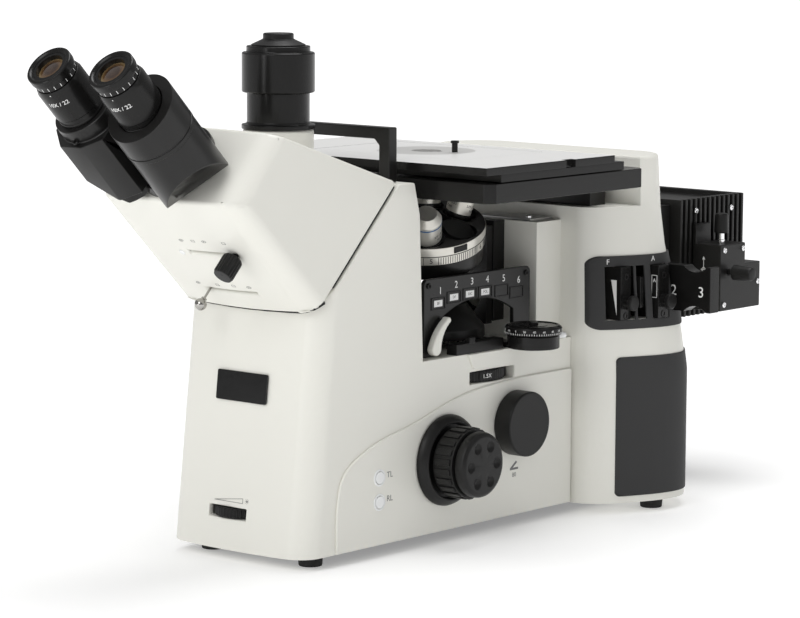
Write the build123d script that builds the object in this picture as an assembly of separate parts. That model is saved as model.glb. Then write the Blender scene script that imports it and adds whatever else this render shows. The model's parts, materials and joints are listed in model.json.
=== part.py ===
from build123d import *
import math
import os

# Inverted reflected-light microscope, in millimetres.
# Working frame: x = 0 is the mid-plane, x = y = 0 the optical axis, z = 0 the bench.
# The eyepieces face -Y, the lamp is at +Y, the focus knobs stick out along X.

# General clearances
RUN = 0.05           # radial running clearance of a shaft in its bore
SLIDE = 0.3          # gap between sliding or turning pieces
SEAT = 0.1           # gap of a piece lifted off its seat by hand

# Stand
BODY_W = 150         # width of column and base
FOOT_H = 10          # height of the rubber feet, so also the underside of the base
FOOT_R = 11
FRONT_Y = -242       # front of the base at the mid-plane
FRONT_BULGE = 6      # how far the front bows out
FRONT_R = 22         # rounding of the two upright front corners
FRONT_LEAN = 0.115   # backward lean of the front per unit of height
DECK_Z = 154         # floor of the nosepiece bay
COLUMN_TOP = 300.5   # top of the column behind the head
BAY_FRONT = -92      # front end of the nosepiece bay at the deck
REAR_Y = 106         # joint between base and tower
WALL = 10            # wall of the castings
PLATE_T = 3          # base plate

# Head
NOSE = (-322, 297)   # profile corners of the head, as (y, z)
HEAD_TOP = (-276, 351.5)
HEAD_REAR = (-128, 303.5)
HEAD_FOOT = (-226, 205)
PART_TOP = (-124.7, 299.5)
PART_FOOT = (-215.7, 207.6)
PART_GAP = 2.5       # parting groove between head and column

# Tower
TOWER_X = 129.5      # half width at the widest point
TOWER_WIDE_Y = 180
TOWER_REAR = 238
TOWER_TOP = 308
TOWER_DRAW_X = 0.30  # how far the top is drawn in, across and along
TOWER_DRAW_Y = 0.255
PLAN_X, PLAN_Y = 54.5, 132   # drawn width and length of the tower's plan, fitted to the sizes above
TOWER_LEAN = ((120, 0), (150, 0.14), (180, 0.33), (205, 0.55), (230, 0.75), (262, 0.90), (TOWER_TOP, 1))
GRIP_TOP = 137
SHOULDER_Y = 152     # step in front of the tower's top, for the stage support
SHOULDER_Z = 266
ARM_W = 124          # white arm in front of the tower
ARM_Y = 73
ARM_TOP = 254

# Lamp axis and the window for the diaphragm units
LAMP_Z = 192
LAMP_BORE_R = 16
WINDOW_Y0 = 118
WINDOW_Y1 = 178
WINDOW_Z0 = 169
WINDOW_Z1 = 215
SLIDER_Y0 = 184      # filter slider, drawn out
SLIDER_Y1 = 197
SLIDER_Z0 = 174
SLIDER_Z1 = 213.5
FILTER_X1 = 164
FILTER_IN = 60       # travel of the filter slider
LEVER_R = 11         # bore of the field diaphragm lever

# Stage
BASE_STAGE_X = 140   # half width of the fixed plate
BASE_STAGE_Y0 = -88
BASE_STAGE_Y1 = 122
BASE_STAGE_Z0 = 286
BASE_STAGE_T = 16
CARRIAGE_T = 7
TOP_T = 6.4
STAGE_TOP = BASE_STAGE_Z0 + BASE_STAGE_T + CARRIAGE_T + TOP_T + 2 * SLIDE
CARRIAGE_X = 138
CARRIAGE_Y0 = -72
CARRIAGE_Y1 = 93
TOP_X = 144
TOP_Y0 = -98
TOP_Y1 = 72
FRAME_X = 160        # standard insert, 160 by 110
FRAME_Y = 110
FRAME_T = 4
INSERT_R = 41.4      # round metal insert
INSERT_T = 2.7
INSERT_HOLE_R = 12.5
PEG_R = 3.5
PEG_X = 31
PEG_H = 10
STAGE_HOLE_R = 74    # hole for the objectives in the fixed plate

# Nosepiece
TILT = 20            # tilt of the turret axis
TILT_DIR = -50       # plan direction of the tilt, towards the user's right hand
SEAT_Z = 268         # objective seat on the optical axis
SEAT_R = 30          # radius of the objective circle
PLACES = 6
TURRET_R = 50
TURRET_T = 15
DRUM_R = 48
DRUM_T = 14
OBJ_LEN = (32, 31, 30, 28)
OBJ_R = (12.5, 12, 13, 11)
OBJ_PLACE = (0, 1, 3, 5)
PIVOT_R = 7
GUIDE_Y = 58.3       # upright guide behind the nosepiece
KEY_X = 8

# Focus drive
FOCUS_Y = -66
FOCUS_Z = 70
FLANGE_R = 39
FLANGE_T = 10
COARSE_R = 28.5
COARSE_T = 20
FINE_R = 23
FINE_T = 11
SHAFT_R = 6.2        # hollow coarse shaft
FINE_SHAFT_R = 3
PINION_TEETH = 18
PINION_MODULE = 0.8
RACK_X = -45         # rack and pinion sit left of the reflector wheel
RACK_W = 10

# Side panels and what sits on them
PANEL_T = 2
PORT_Y = 25          # side port
PORT_Z = 90
PORT_R = 27.5
PORT_T = 17
PORT_BORE_R = 18
BUTTON_Y = -149
BUTTON_Z = (66, 46)
BUTTON_R = 5

# Reflector turret and analyser
COVER_X = BODY_W / 2 - 11  # outer face of the numbered cover
COVER_T = 4
COVER_Y0 = -78.5
COVER_Y1 = 62
COVER_TOP = 218.5
WHEEL_X = 16
WHEEL_Y = -8
WHEEL_R = COVER_X - COVER_T - WHEEL_X - 1
WHEEL_Z0 = 162
WHEEL_Z1 = 190
DIAL_X = BODY_W / 2 + 17
DIAL_Y = 31
DIAL_R = 24
LEVER_Y = -72         # shutter lever
LEVER_Z = 160
LEVER_PIN_Y = LEVER_Y + 5

# Magnification wheel
MAG_Y = -2
MAG_Z = 133
MAG_X = 0.23 * BODY_W
MAG_T = 9
MAG_OUT = 1.5        # how far the rim shows outside the wall
MAG_R = BODY_W / 2 + MAG_OUT - MAG_X
MAG_SLOT = math.sqrt(MAG_R ** 2 - (BODY_W / 2 - WALL - MAG_X) ** 2) + 0.725  # half length of the slot

# Binocular tubes, in a frame whose W axis runs along the tubes
TUBE_ANGLE = 45
PIVOT = (0, -299, 324)
IPD = 66
TUBE_DROP = 20       # tube axes below the pivot axis
HOUSING_R = 29
HOUSING_W0 = 9
HOUSING_W1 = 82
HUB_R = 22
HUB_T = 12
PIN_R = 8
BARREL_R = 19.75
BARREL_W1 = 120
RING_R = 18
RING_W1 = 132
NECK_R = 14
LENS_R = 11.5

# Camera port
CAM_Y = -185
CAM_FLANGE_R = 30.5
CAM_TUBE_R = 26
CAM_Z = 345          # seat of the camera tube on the head
CAM_BORE_R = 18
CAM_GRIP_Z = 29      # heights above the seat: grip, its top, rim of the tube
CAM_GRIP_TOP = 61
CAM_RIM_Z = 66

# Front controls
KNOB_X = 36          # selector knob at the right end of its slot
KNOB_TRAVEL = 44
BALL_X = -24         # ball lever at the left end of its slot
BALL_TRAVEL = 48
KNOB_V = 68          # heights of the two slots up the face
BALL_V = 19
DIMMER_X = -6.5
DIMMER_Z = 40
DIMMER_R = 24
DIMMER_W = 8

# Lamp house
LAMP_X = 58
LAMP_Y0 = 288
LAMP_Y1 = 387
LAMP_Z0 = 150.5
LAMP_Z1 = 257
FINS = 14
FIN_H = 4
BRACKET_X = 89       # outer face of the bracket with the adjusting knobs
BRACKET_Y = LAMP_Y0 + 19
BRACKET_Z0 = 157
BRACKET_STEP = BRACKET_Z0 + 41
BRACKET_TOP = BRACKET_Z0 + 60
KNOB_V_X = BRACKET_X - 13
KNOB_V_Y = BRACKET_Y + 19
KNOB_H_Y = BRACKET_Y + 13
KNOB_H_Z = BRACKET_Z0 + 35

# Mains inlet and switch on the back of the tower
INLET_W = 48
INLET_H = 28
INLET_Z = 60
SWITCH_X = 44
SWITCH_W = 22
ROCKER_R = 12

# Guard frame behind the head
GUARD_X = BODY_W / 2 - 14
GUARD_Y = -115
GUARD_TOP = COLUMN_TOP + 44.5

# Mirrors at the bottom of the light path
MIRROR_H = 36


def box(x0, x1, y0, y1, z0, z1):
    return Pos((x0 + x1) / 2, (y0 + y1) / 2, (z0 + z1) / 2) * Box(x1 - x0, y1 - y0, z1 - z0)


def cyl_x(x0, x1, y, z, r):
    return Pos((x0 + x1) / 2, y, z) * Rot(0, 90, 0) * Cylinder(r, x1 - x0)


def cyl_y(x, y0, y1, z, r):
    return Pos(x, (y0 + y1) / 2, z) * Rot(90, 0, 0) * Cylinder(r, y1 - y0)


def cyl_z(x, y, z0, z1, r):
    return Pos(x, y, (z0 + z1) / 2) * Cylinder(r, z1 - z0)


def prism_x(points, x0, x1):
    """Solid with the given (y, z) outline between two x planes."""
    outline = Plane.YZ * make_face(Polyline(*points, close=True))
    return Pos(x0, 0, 0) * extrude(outline, x1 - x0)


def prism_z(face, z0, z1):
    return Pos(0, 0, z0) * extrude(face, z1 - z0)


def rounded_x(y0, y1, z0, z1, x0, x1, r):
    """Block with its four edges along X rounded."""
    outline = Plane.YZ * Pos((y0 + y1) / 2, (z0 + z1) / 2) * RectangleRounded(y1 - y0, z1 - z0, r)
    return Pos(x0, 0, 0) * extrude(outline, x1 - x0)


def mirrored(solid):
    return mirror(solid, Plane.YZ)


def group(*members):
    """Separate solids kept together as one piece."""
    return Compound([solid for member in members for solid in member.solids()])


pieces = {}


# Stand

def front_plan(y_mid):
    """Plan of the body with its bowed front and rounded front corners."""
    half = BODY_W / 2
    edge = y_mid + FRONT_BULGE
    bow = ThreePointArc((-half, edge), (0, y_mid), (half, edge))
    rest = Polyline((half, edge), (half, edge + 500), (-half, edge + 500), (-half, edge))
    plan = make_face([bow, rest])
    corners = plan.vertices().sort_by(Axis.Y)[0:2]
    return fillet(corners, FRONT_R)


def leaning(y_mid, z_mid, rise_y, rise_z, length):
    """Body plan pushed along a sloping line in the YZ plane, both ways from (y_mid, z_mid)."""
    along = Vector(0, rise_y, rise_z).normalized()
    start = Pos(0, -along.Y * length / 2, z_mid - along.Z * length / 2) * front_plan(y_mid)
    return extrude(start, length, dir=along)


part_slope = (PART_TOP[1] - PART_FOOT[1]) / (PART_TOP[0] - PART_FOOT[0])


def part_z(y):
    """Height of the parting plane between head and column."""
    return PART_TOP[1] + (y - PART_TOP[0]) * part_slope


body_outline = [
    (-300, FOOT_H), (REAR_Y, FOOT_H), (REAR_Y, DECK_Z), (BAY_FRONT, DECK_Z), (-97, 274),
    (-104, COLUMN_TOP), (PART_TOP[0] + 2, COLUMN_TOP), (PART_TOP[0], part_z(PART_TOP[0])),
    (-300, part_z(-300)),
]
stand = leaning(FRONT_Y, FOOT_H, FRONT_LEAN, 1, 1000)
stand = stand & prism_x(body_outline, -BODY_W / 2, BODY_W / 2)
inner_w = BODY_W / 2 - WALL
stand -= box(-inner_w, inner_w, -212, -106, FOOT_H, 190)
stand -= box(-inner_w, inner_w, -107, REAR_Y - WALL, FOOT_H, DECK_Z - WALL)

plate_x = inner_w + 4
plate_y0 = -218
plate_y1 = 232
plate_room = box(-plate_x - SEAT, plate_x + SEAT, plate_y0 - SEAT, plate_y1 + SEAT,
                 FOOT_H, FOOT_H + PLATE_T)
stand -= plate_room

# Openings of the stand: focus shaft, rack, light path, buttons, dimmer, magnification wheel
stand -= cyl_x(-BODY_W, BODY_W, FOCUS_Y, FOCUS_Z, SHAFT_R + RUN)
pitch_r = PINION_TEETH * PINION_MODULE / 2
rack_y0 = FOCUS_Y + pitch_r - PINION_MODULE
rack_y1 = rack_y0 + 13
stand -= box(RACK_X - RACK_W / 2 - 1, RACK_X + RACK_W / 2 + 1, rack_y0 - 1, rack_y1 + 1, 100, 200)
stand -= cyl_z(0, 0, 100, 200, 13)
for button_z in BUTTON_Z:
    stand -= cyl_x(inner_w - 15, BODY_W, BUTTON_Y, button_z, BUTTON_R - 1)
dimmer_face = FRONT_Y + FRONT_LEAN * (DIMMER_Z - FOOT_H)
dimmer_y = dimmer_face + DIMMER_R - 3
dimmer_z0 = DIMMER_Z - DIMMER_W / 2 - 0.6
dimmer_z1 = DIMMER_Z + DIMMER_W / 2 + 0.6
stand -= box(DIMMER_X - 20, DIMMER_X + 20, dimmer_face - 10, -205, dimmer_z0, dimmer_z1)
stand -= box(DIMMER_X - DIMMER_R - 1, DIMMER_X + DIMMER_R + 1, dimmer_face + 6, -205, dimmer_z0, dimmer_z1)
mag_z0, mag_z1 = MAG_Z - MAG_T / 2 - 0.6, MAG_Z + MAG_T / 2 + 0.6
stand -= box(inner_w - 5, BODY_W / 2 + 15, MAG_Y - MAG_SLOT, MAG_Y + MAG_SLOT, mag_z0, mag_z1)
stand -= cyl_x(inner_w - 25, BODY_W, PORT_Y, PORT_Z, PORT_BORE_R)
pieces["main_stand"] = stand


# Tower

def tower_face(grow, drawn):
    """Plan of the tower, grown outwards and drawn in towards the joint by a share of the full draw."""
    wide = PLAN_Y * (TOWER_WIDE_Y - REAR_Y) / (TOWER_REAR - REAR_Y)
    right = [(0, 0), (15, 3), (26, 11), (36, 25), (44.5, 42), (51, 58), (PLAN_X, wide), (53.5, 90),
             (45, 106), (28, 123), (3, PLAN_Y)]
    across = (TOWER_X - BODY_W / 2) / PLAN_X * (1 - TOWER_DRAW_X * drawn)
    along = (TOWER_REAR - REAR_Y) / PLAN_Y * (1 - TOWER_DRAW_Y * drawn)
    points = []
    for x, y in right:
        points.append((BODY_W / 2 + x * across + grow, REAR_Y + y * along + grow * (y - 54) / 80))
    left = [(-x, y) for x, y in reversed(points)]
    flank = Spline(*points)
    rear = Line(points[-1], left[0])
    other = Spline(*left)
    front = Line(left[-1], points[0])
    return make_face([flank, rear, other, front])


def tower_solid(grow):
    low = prism_z(tower_face(grow, 0), FOOT_H, TOWER_LEAN[0][0])
    return low + loft([Pos(0, 0, z) * tower_face(grow, drawn) for z, drawn in TOWER_LEAN], ruled=True)


tower_block = tower_solid(0)
tower = tower_block - box(-160, 160, 90, SHOULDER_Y, SHOULDER_Z, 330) - box(-160, 160, 50, REAR_Y, 0, 400)
arm = box(-ARM_W / 2, ARM_W / 2, ARM_Y, REAR_Y + 2, DECK_Z, ARM_TOP)
tower += arm
tower -= cyl_y(0, 60, 260, LAMP_Z, LAMP_BORE_R)
tower -= box(-40, 170, WINDOW_Y0, WINDOW_Y1, WINDOW_Z0, WINDOW_Z1)
channel_y0, channel_y1 = SLIDER_Y0 - 0.5, SLIDER_Y1 + 0.5
tower -= box(-FILTER_IN - 30, 170, channel_y0, channel_y1, SLIDER_Z0 - SLIDE, SLIDER_Z1 + SLIDE)
lever_web = box(-41, 60, 152, 158, WINDOW_Z0 - 1, WINDOW_Z1 + 1) + cyl_y(0, 144, 153, LAMP_Z, LEVER_R - RUN)
tower += lever_web - cyl_y(0, 60, 260, LAMP_Z, LEVER_R - 3)
tower -= box(7 - inner_w, inner_w - 7, REAR_Y + WALL, TOWER_REAR - WALL, FOOT_H, 140)
tower -= plate_room
tower -= box(-INLET_W / 2, INLET_W / 2, TOWER_REAR - 30, TOWER_REAR + 10,
             INLET_Z - INLET_H / 2, INLET_Z + INLET_H / 2)
tower -= box(SWITCH_X - SWITCH_W / 2, SWITCH_X + SWITCH_W / 2, TOWER_REAR - 30, TOWER_REAR + 10,
             INLET_Z - INLET_H / 2, INLET_Z + INLET_H / 2)
pieces["rear_tower"] = tower

frame_zone = rounded_x(REAR_Y + 2, 206, WINDOW_Z0 - 8, WINDOW_Z1 + 9, 50, 170, 7)
bezel = (tower_solid(1.5) - tower_block) & frame_zone
for room_y0, room_y1 in ((WINDOW_Y0, 142.5), (144.5, 152.5), (158.5, WINDOW_Y1 - 1)):
    bezel -= box(40, 170, room_y0, room_y1, WINDOW_Z0, WINDOW_Z1)
bezel -= box(40, 170, channel_y0, channel_y1, SLIDER_Z0 - SLIDE, SLIDER_Z1 + SLIDE)
grip_zone = rounded_x(126, 226, 16, GRIP_TOP, 50, 170, 4)
grip = (tower_solid(1.0) - tower_block) & grip_zone
pieces["tower_trims"] = group(bezel, grip, mirrored(grip))

pieces["base_plate"] = box(-plate_x, plate_x, plate_y0, plate_y1, FOOT_H, FOOT_H + PLATE_T)
feet = []
foot_front, foot_rear = BODY_W / 2 - 22, TOWER_X - 21.5
for foot_x, foot_y in ((foot_front, -205), (-foot_front, -205), (foot_rear, TOWER_WIDE_Y),
                       (-foot_rear, TOWER_WIDE_Y)):
    foot = Pos(foot_x, foot_y, 0) * extrude(Circle(FOOT_R - 1.5), FOOT_H, taper=-5)
    feet.append(foot)
pieces["rubber_feet"] = group(*feet)


# Raised arch panels on both sides of the base

panel_path = [
    Line((-200, FOOT_H + 1), (-198, 50)),
    Spline((-198, 50), (-191.5, 71), (-171, 85.5), (-97.5, 105.5), (-44, 119.5), (21, 125.5),
           (REAR_Y - 2, 126.5)),
    Line((REAR_Y - 2, 126.5), (REAR_Y - 2, FOOT_H + 1)),
    Line((REAR_Y - 2, FOOT_H + 1), (-200, FOOT_H + 1)),
]
panel = Pos(BODY_W / 2, 0, 0) * extrude(Plane.YZ * make_face(panel_path), PANEL_T)
panel -= cyl_x(inner_w, BODY_W, FOCUS_Y, FOCUS_Z, SHAFT_R + 1)
panel_left = mirrored(panel)
for button_z in BUTTON_Z:
    panel -= cyl_x(inner_w, BODY_W, BUTTON_Y, button_z, BUTTON_R + 0.2)
panel -= cyl_x(inner_w, BODY_W, PORT_Y, PORT_Z, PORT_BORE_R)
pieces["side_panels"] = group(panel, panel_left)
panel_x = BODY_W / 2 + PANEL_T


# Head

gap_dy = PART_GAP / math.sin(math.atan(part_slope))
head_outline = [
    (-345, NOSE[1] + 3), (HEAD_TOP[0] - 6, HEAD_TOP[1] + 9), HEAD_TOP, HEAD_REAR,
    (PART_TOP[0] - gap_dy, PART_TOP[1]), (-240 - gap_dy, part_z(-240)),
]
head = prism_x(head_outline, -BODY_W / 2, BODY_W / 2)
head = head & leaning(HEAD_FOOT[0], HEAD_FOOT[1], NOSE[0] - HEAD_FOOT[0], NOSE[1] - HEAD_FOOT[1], 500)
head = head & leaning(NOSE[0], NOSE[1], HEAD_TOP[0] - NOSE[0], HEAD_TOP[1] - NOSE[1], 500)
joint_foot, joint_top = -206, -134
joint_pad = [(joint_foot, part_z(joint_foot)), (joint_top, part_z(joint_top)),
             (joint_top - gap_dy - 1, part_z(joint_top)), (joint_foot - gap_dy - 1, part_z(joint_foot))]
head += prism_x(joint_pad, 9 - BODY_W / 2, BODY_W / 2 - 9)
boss_r = CAM_FLANGE_R - 2
head += cyl_z(0, CAM_Y, CAM_Z - 30, CAM_Z, boss_r)
head -= box(-45, 45, -240, -195, 235, 300) + box(-30, 30, -240, -165, 275, 300)
head -= cyl_z(0, CAM_Y, CAM_Z - 55, CAM_Z + 1, CAM_BORE_R)

up_face = Vector(0, NOSE[0] - HEAD_FOOT[0], NOSE[1] - HEAD_FOOT[1]).normalized()
control_plane = Plane(origin=(0, HEAD_FOOT[0], HEAD_FOOT[1]), x_dir=(1, 0, 0),
                      z_dir=(0, -up_face.Z, up_face.Y))
head -= control_plane * box(KNOB_X - KNOB_TRAVEL - 4, KNOB_X + 4, KNOB_V - 1.2, KNOB_V + 1.2, -14, 5)
head -= control_plane * box(BALL_X - 3, BALL_X + BALL_TRAVEL + 3, BALL_V - 1.3, BALL_V + 1.3, -14, 5)
pieces["head_housing"] = head

knob = control_plane * (Pos(KNOB_X, KNOB_V, 12.5) * Cylinder(9.5, 21))
knob += control_plane * box(KNOB_X - 3, KNOB_X + 3, KNOB_V - 0.9, KNOB_V + 0.9, -11, 3)
pieces["selector_knob"] = knob
ball = control_plane * (Pos(BALL_X, BALL_V, 15) * Sphere(5))
ball += control_plane * (Pos(BALL_X, BALL_V, 2) * Cylinder(1, 24))
pieces["ball_lever"] = ball


# Binocular head

rad = math.radians(TUBE_ANGLE)
tube_plane = Plane(origin=PIVOT, x_dir=(1, 0, 0), z_dir=(0, -math.cos(rad), math.sin(rad)))


def tube_cyl(x, v, w0, w1, r):
    return Pos(x, v, (w0 + w1) / 2) * Cylinder(r, w1 - w0)


hub_low = (HOUSING_W0 + 1, HOUSING_W0 + 1 + HUB_T)
hub_high = (hub_low[1] + SLIDE, hub_low[1] + SLIDE + HUB_T)
pin_top = hub_high[1] + 3
base = tube_cyl(0, 0, -14, HOUSING_W0 - 1, 33)
base += tube_cyl(0, 0, 0, pin_top, PIN_R)
base += tube_cyl(0, 0, hub_high[1] + SLIDE, pin_top, PIN_R + 4)
pieces["binocular_base"] = (tube_plane * base) - head


def tube_housing(side, own, other, shell):
    """Swinging tube: shell, hub on the pivot pin and the arm between them."""
    x = side * IPD / 2
    arm_x = sorted((side * 9, x))
    solid = shell
    solid -= tube_cyl(0, 0, other[0] - SLIDE, other[1] + SLIDE, HUB_R + 0.4)
    arm_solid = tube_cyl(0, 0, own[0], own[1], HUB_R)
    arm_solid += box(arm_x[0], arm_x[1], -TUBE_DROP - 14, 10, own[0], own[1])
    solid += arm_solid
    solid -= tube_cyl(0, 0, 0, 60, PIN_R + RUN)
    solid -= tube_cyl(0, 0, own[1] + SLIDE / 2, 60, PIN_R + 4.4)
    solid -= tube_cyl(x, -TUBE_DROP, 30, 100, 15)
    return solid


round_shell = tube_cyl(IPD / 2, -TUBE_DROP, HOUSING_W0, HOUSING_W1, HOUSING_R)
right_tube = tube_housing(1, hub_high, hub_low, round_shell)
right_tube -= Pos(IPD / 2 + 14, -TUBE_DROP - HOUSING_R, 0) * Rot(28, 18, 0) * Box(80, 22, 90)
square = RectangleRounded(2 * HOUSING_R - 3, 2 * HOUSING_R - 2, 9)
square_shell = extrude(Pos(-IPD / 2 - 1.5, -TUBE_DROP, HOUSING_W0) * square, HOUSING_W1 - 12 - HOUSING_W0)
square_shell += tube_cyl(-IPD / 2, -TUBE_DROP, HOUSING_W1 - 20, HOUSING_W1, 24)
left_tube = tube_housing(-1, hub_low, hub_high, square_shell)
pieces["tube_housing_right"] = tube_plane * right_tube
pieces["tube_housing_left"] = tube_plane * left_tube

for side, tag in ((1, "right"), (-1, "left")):
    x = side * IPD / 2
    barrel = tube_cyl(x, -TUBE_DROP, HOUSING_W1, BARREL_W1, BARREL_R)
    barrel += tube_cyl(x, -TUBE_DROP, BARREL_W1, RING_W1 - 1.5, NECK_R)
    barrel -= tube_cyl(x, -TUBE_DROP, 0, 200, LENS_R)
    pieces["eyepiece_" + tag] = tube_plane * barrel
    ring = tube_cyl(x, -TUBE_DROP, BARREL_W1 + SLIDE, RING_W1, RING_R)
    ring -= tube_cyl(x, -TUBE_DROP, 0, 200, NECK_R + RUN)
    pieces["diopter_ring_" + tag] = tube_plane * ring
    lens = tube_cyl(x, -TUBE_DROP, RING_W1 - 6, RING_W1 - 3.5, LENS_R)
    pieces["eyepiece_lens_" + tag] = tube_plane * lens


# Camera port

rim_z = CAM_Z + CAM_RIM_Z
tube = cyl_z(0, CAM_Y, CAM_Z, CAM_Z + 5, CAM_FLANGE_R)
tube += cyl_z(0, CAM_Y, CAM_Z + 5, CAM_Z + CAM_GRIP_Z, CAM_TUBE_R)
tube += cyl_z(0, CAM_Y, CAM_Z + CAM_GRIP_Z, CAM_Z + CAM_GRIP_TOP, CAM_FLANGE_R)
tube += cyl_z(0, CAM_Y, CAM_Z + CAM_GRIP_TOP, rim_z, CAM_TUBE_R + 0.5)
pieces["camera_tube"] = tube - cyl_z(0, CAM_Y, CAM_Z - 45, rim_z + 20, CAM_BORE_R)
cap = cyl_z(0, CAM_Y, rim_z - 15, rim_z + SEAT, CAM_BORE_R - 0.5)
cap += Pos(0, CAM_Y, rim_z + SEAT) * extrude(Circle(22), 5.4, taper=50)
cap += cyl_z(0, CAM_Y, rim_z + 5, rim_z + 10, 12.3)
pieces["camera_port_cap"] = cap

# Guard frame behind the head

guard = box(-GUARD_X, GUARD_X, GUARD_Y - 5, GUARD_Y + 5, COLUMN_TOP, GUARD_TOP)
opening = Plane.XZ * Pos(0, (COLUMN_TOP + GUARD_TOP) / 2 - 10) * Rectangle(2 * GUARD_X - 22, 62 - 17)
cut = extrude(chamfer(opening.vertices(), 5), 40, both=True)
guard -= Pos(0, GUARD_Y, 0) * cut
pieces["guard_frame"] = guard

# Name plate, left blank

plate_z = 141
plate_y = FRONT_Y + FRONT_LEAN * (plate_z - FOOT_H)
plate_plane = Plane(origin=(0, plate_y, plate_z), x_dir=(1, 0, 0), z_dir=(0, -1, FRONT_LEAN))
blank = plate_plane * extrude(RectangleRounded(54, 24, 1.5), 1.5)
blank += plate_plane * extrude(RectangleRounded(50, 20, 1.5), -3)
pieces["name_plate"] = blank - stand


# Stage

base_z1 = BASE_STAGE_Z0 + BASE_STAGE_T
fixed = Rectangle(2 * BASE_STAGE_X, BASE_STAGE_Y1 - BASE_STAGE_Y0)
fixed = chamfer(fixed.vertices(), 7)
fixed = Pos(0, (BASE_STAGE_Y0 + BASE_STAGE_Y1) / 2) * fixed
tongue = Pos(0, BASE_STAGE_Y1 + 8) * Rectangle(170, 40)
stage_base = prism_z(fixed + tongue, BASE_STAGE_Z0, base_z1)
stage_base -= cyl_z(0, 0, 200, 400, STAGE_HOLE_R)
pieces["stage_base"] = stage_base
car_z0 = base_z1 + SLIDE
car_z1 = car_z0 + CARRIAGE_T
carriage = box(-CARRIAGE_X, CARRIAGE_X, CARRIAGE_Y0, CARRIAGE_Y1, car_z0, car_z1)
carriage -= box(-100, 100, -60, 62, 200, 400)
pieces["stage_carriage"] = carriage
top_z0 = car_z1 + SLIDE
top = box(-TOP_X, TOP_X, TOP_Y0, TOP_Y1, top_z0, STAGE_TOP)
top -= box(-FRAME_X / 2 + 8, FRAME_X / 2 - 8, -FRAME_Y / 2 + 6, FRAME_Y / 2 - 6, 200, 400)
top -= box(-FRAME_X / 2, FRAME_X / 2, -FRAME_Y / 2, FRAME_Y / 2, STAGE_TOP - FRAME_T, 400)
top -= box(TOP_X - 5, TOP_X + 5, 6, 18, 200, 400)
pieces["stage_top"] = top
frame = box(-FRAME_X / 2 + SEAT, FRAME_X / 2 - SEAT, -FRAME_Y / 2 + SEAT, FRAME_Y / 2 - SEAT,
            STAGE_TOP - FRAME_T, STAGE_TOP)
frame -= cyl_z(0, 0, 200, 400, INSERT_R - 4)
frame -= cyl_z(0, 0, STAGE_TOP - INSERT_T - SEAT, 400, INSERT_R + RUN)
pieces["stage_insert_frame"] = frame
insert = cyl_z(0, 0, STAGE_TOP - INSERT_T, STAGE_TOP, INSERT_R)
insert -= cyl_z(0, 0, 200, 400, INSERT_HOLE_R)
insert -= cyl_z(INSERT_HOLE_R, 0, 200, 400, 4)
peg = cyl_z(PEG_X, 0, STAGE_TOP, STAGE_TOP + PEG_H, PEG_R - 1)
peg += Pos(PEG_X, 0, STAGE_TOP + PEG_H - 2) * extrude(Circle(PEG_R), 2)
pieces["stage_insert"] = insert + peg
rear_support = box(-84, 84, REAR_Y + 12, SHOULDER_Y - 12, SHOULDER_Z, BASE_STAGE_Z0)
bracket = box(-50, 50, -110, BASE_STAGE_Y0 + 12, 262, BASE_STAGE_Z0)
front_support = bracket - stand


# Nosepiece

tilt = math.radians(TILT)
plan = math.radians(TILT_DIR)
axis_dir = Vector(math.sin(tilt) * math.cos(plan), math.sin(tilt) * math.sin(plan), math.cos(tilt))
apex_z = SEAT_Z - SEAT_R / math.sin(tilt)
apex = Vector(0, 0, apex_z)
seat_centre = apex + axis_dir * (SEAT_R / math.tan(tilt))
turret_axis = Axis(apex, axis_dir)
turret_plane = Plane(origin=seat_centre, z_dir=axis_dir)


def at_place(solid, place):
    """Copy of a solid from the optical axis to another place of the turret."""
    return solid.rotate(turret_axis, place * 360 / PLACES)


def disc(w0, w1, r):
    return turret_plane * (Pos(0, 0, (w0 + w1) / 2) * Cylinder(r, w1 - w0))


turret = disc(-TURRET_T, 0, TURRET_R)
keep = disc(-TURRET_T, 40, TURRET_R)
for place in range(PLACES):
    turret += at_place(cyl_z(0, 0, SEAT_Z - 16, SEAT_Z, 15.5), place) & keep
for place in range(PLACES):
    turret -= at_place(cyl_z(0, 0, SEAT_Z, SEAT_Z + 30, 16), place)
    turret -= at_place(cyl_z(0, 0, SEAT_Z - 40, SEAT_Z + 5, 10), place)
turret -= disc(-60, 60, PIVOT_R + RUN)
turret -= disc(-4, 60, PIVOT_R + 5.5)
pieces["nosepiece_turret"] = turret

objectives = []
for place, length, radius in zip(OBJ_PLACE, OBJ_LEN, OBJ_R):
    lens = cyl_z(0, 0, SEAT_Z, SEAT_Z + 4, radius + 1)
    lens += cyl_z(0, 0, SEAT_Z + 4, SEAT_Z + length - 6, radius)
    lens += Pos(0, 0, SEAT_Z + length - 6) * extrude(Circle(radius), 6, taper=35)
    lens += cyl_z(0, 0, SEAT_Z - 4, SEAT_Z, 9.9)
    objectives.append(at_place(lens, place))
pieces["objectives"] = group(*objectives)
plugs = []
for place in range(PLACES):
    if place not in OBJ_PLACE:
        plug = cyl_z(0, 0, SEAT_Z, SEAT_Z + 2.5, 13) + cyl_z(0, 0, SEAT_Z - 4, SEAT_Z, 9.9)
        plugs.append(at_place(plug, place))
pieces["nosepiece_plugs"] = group(*plugs)

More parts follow.
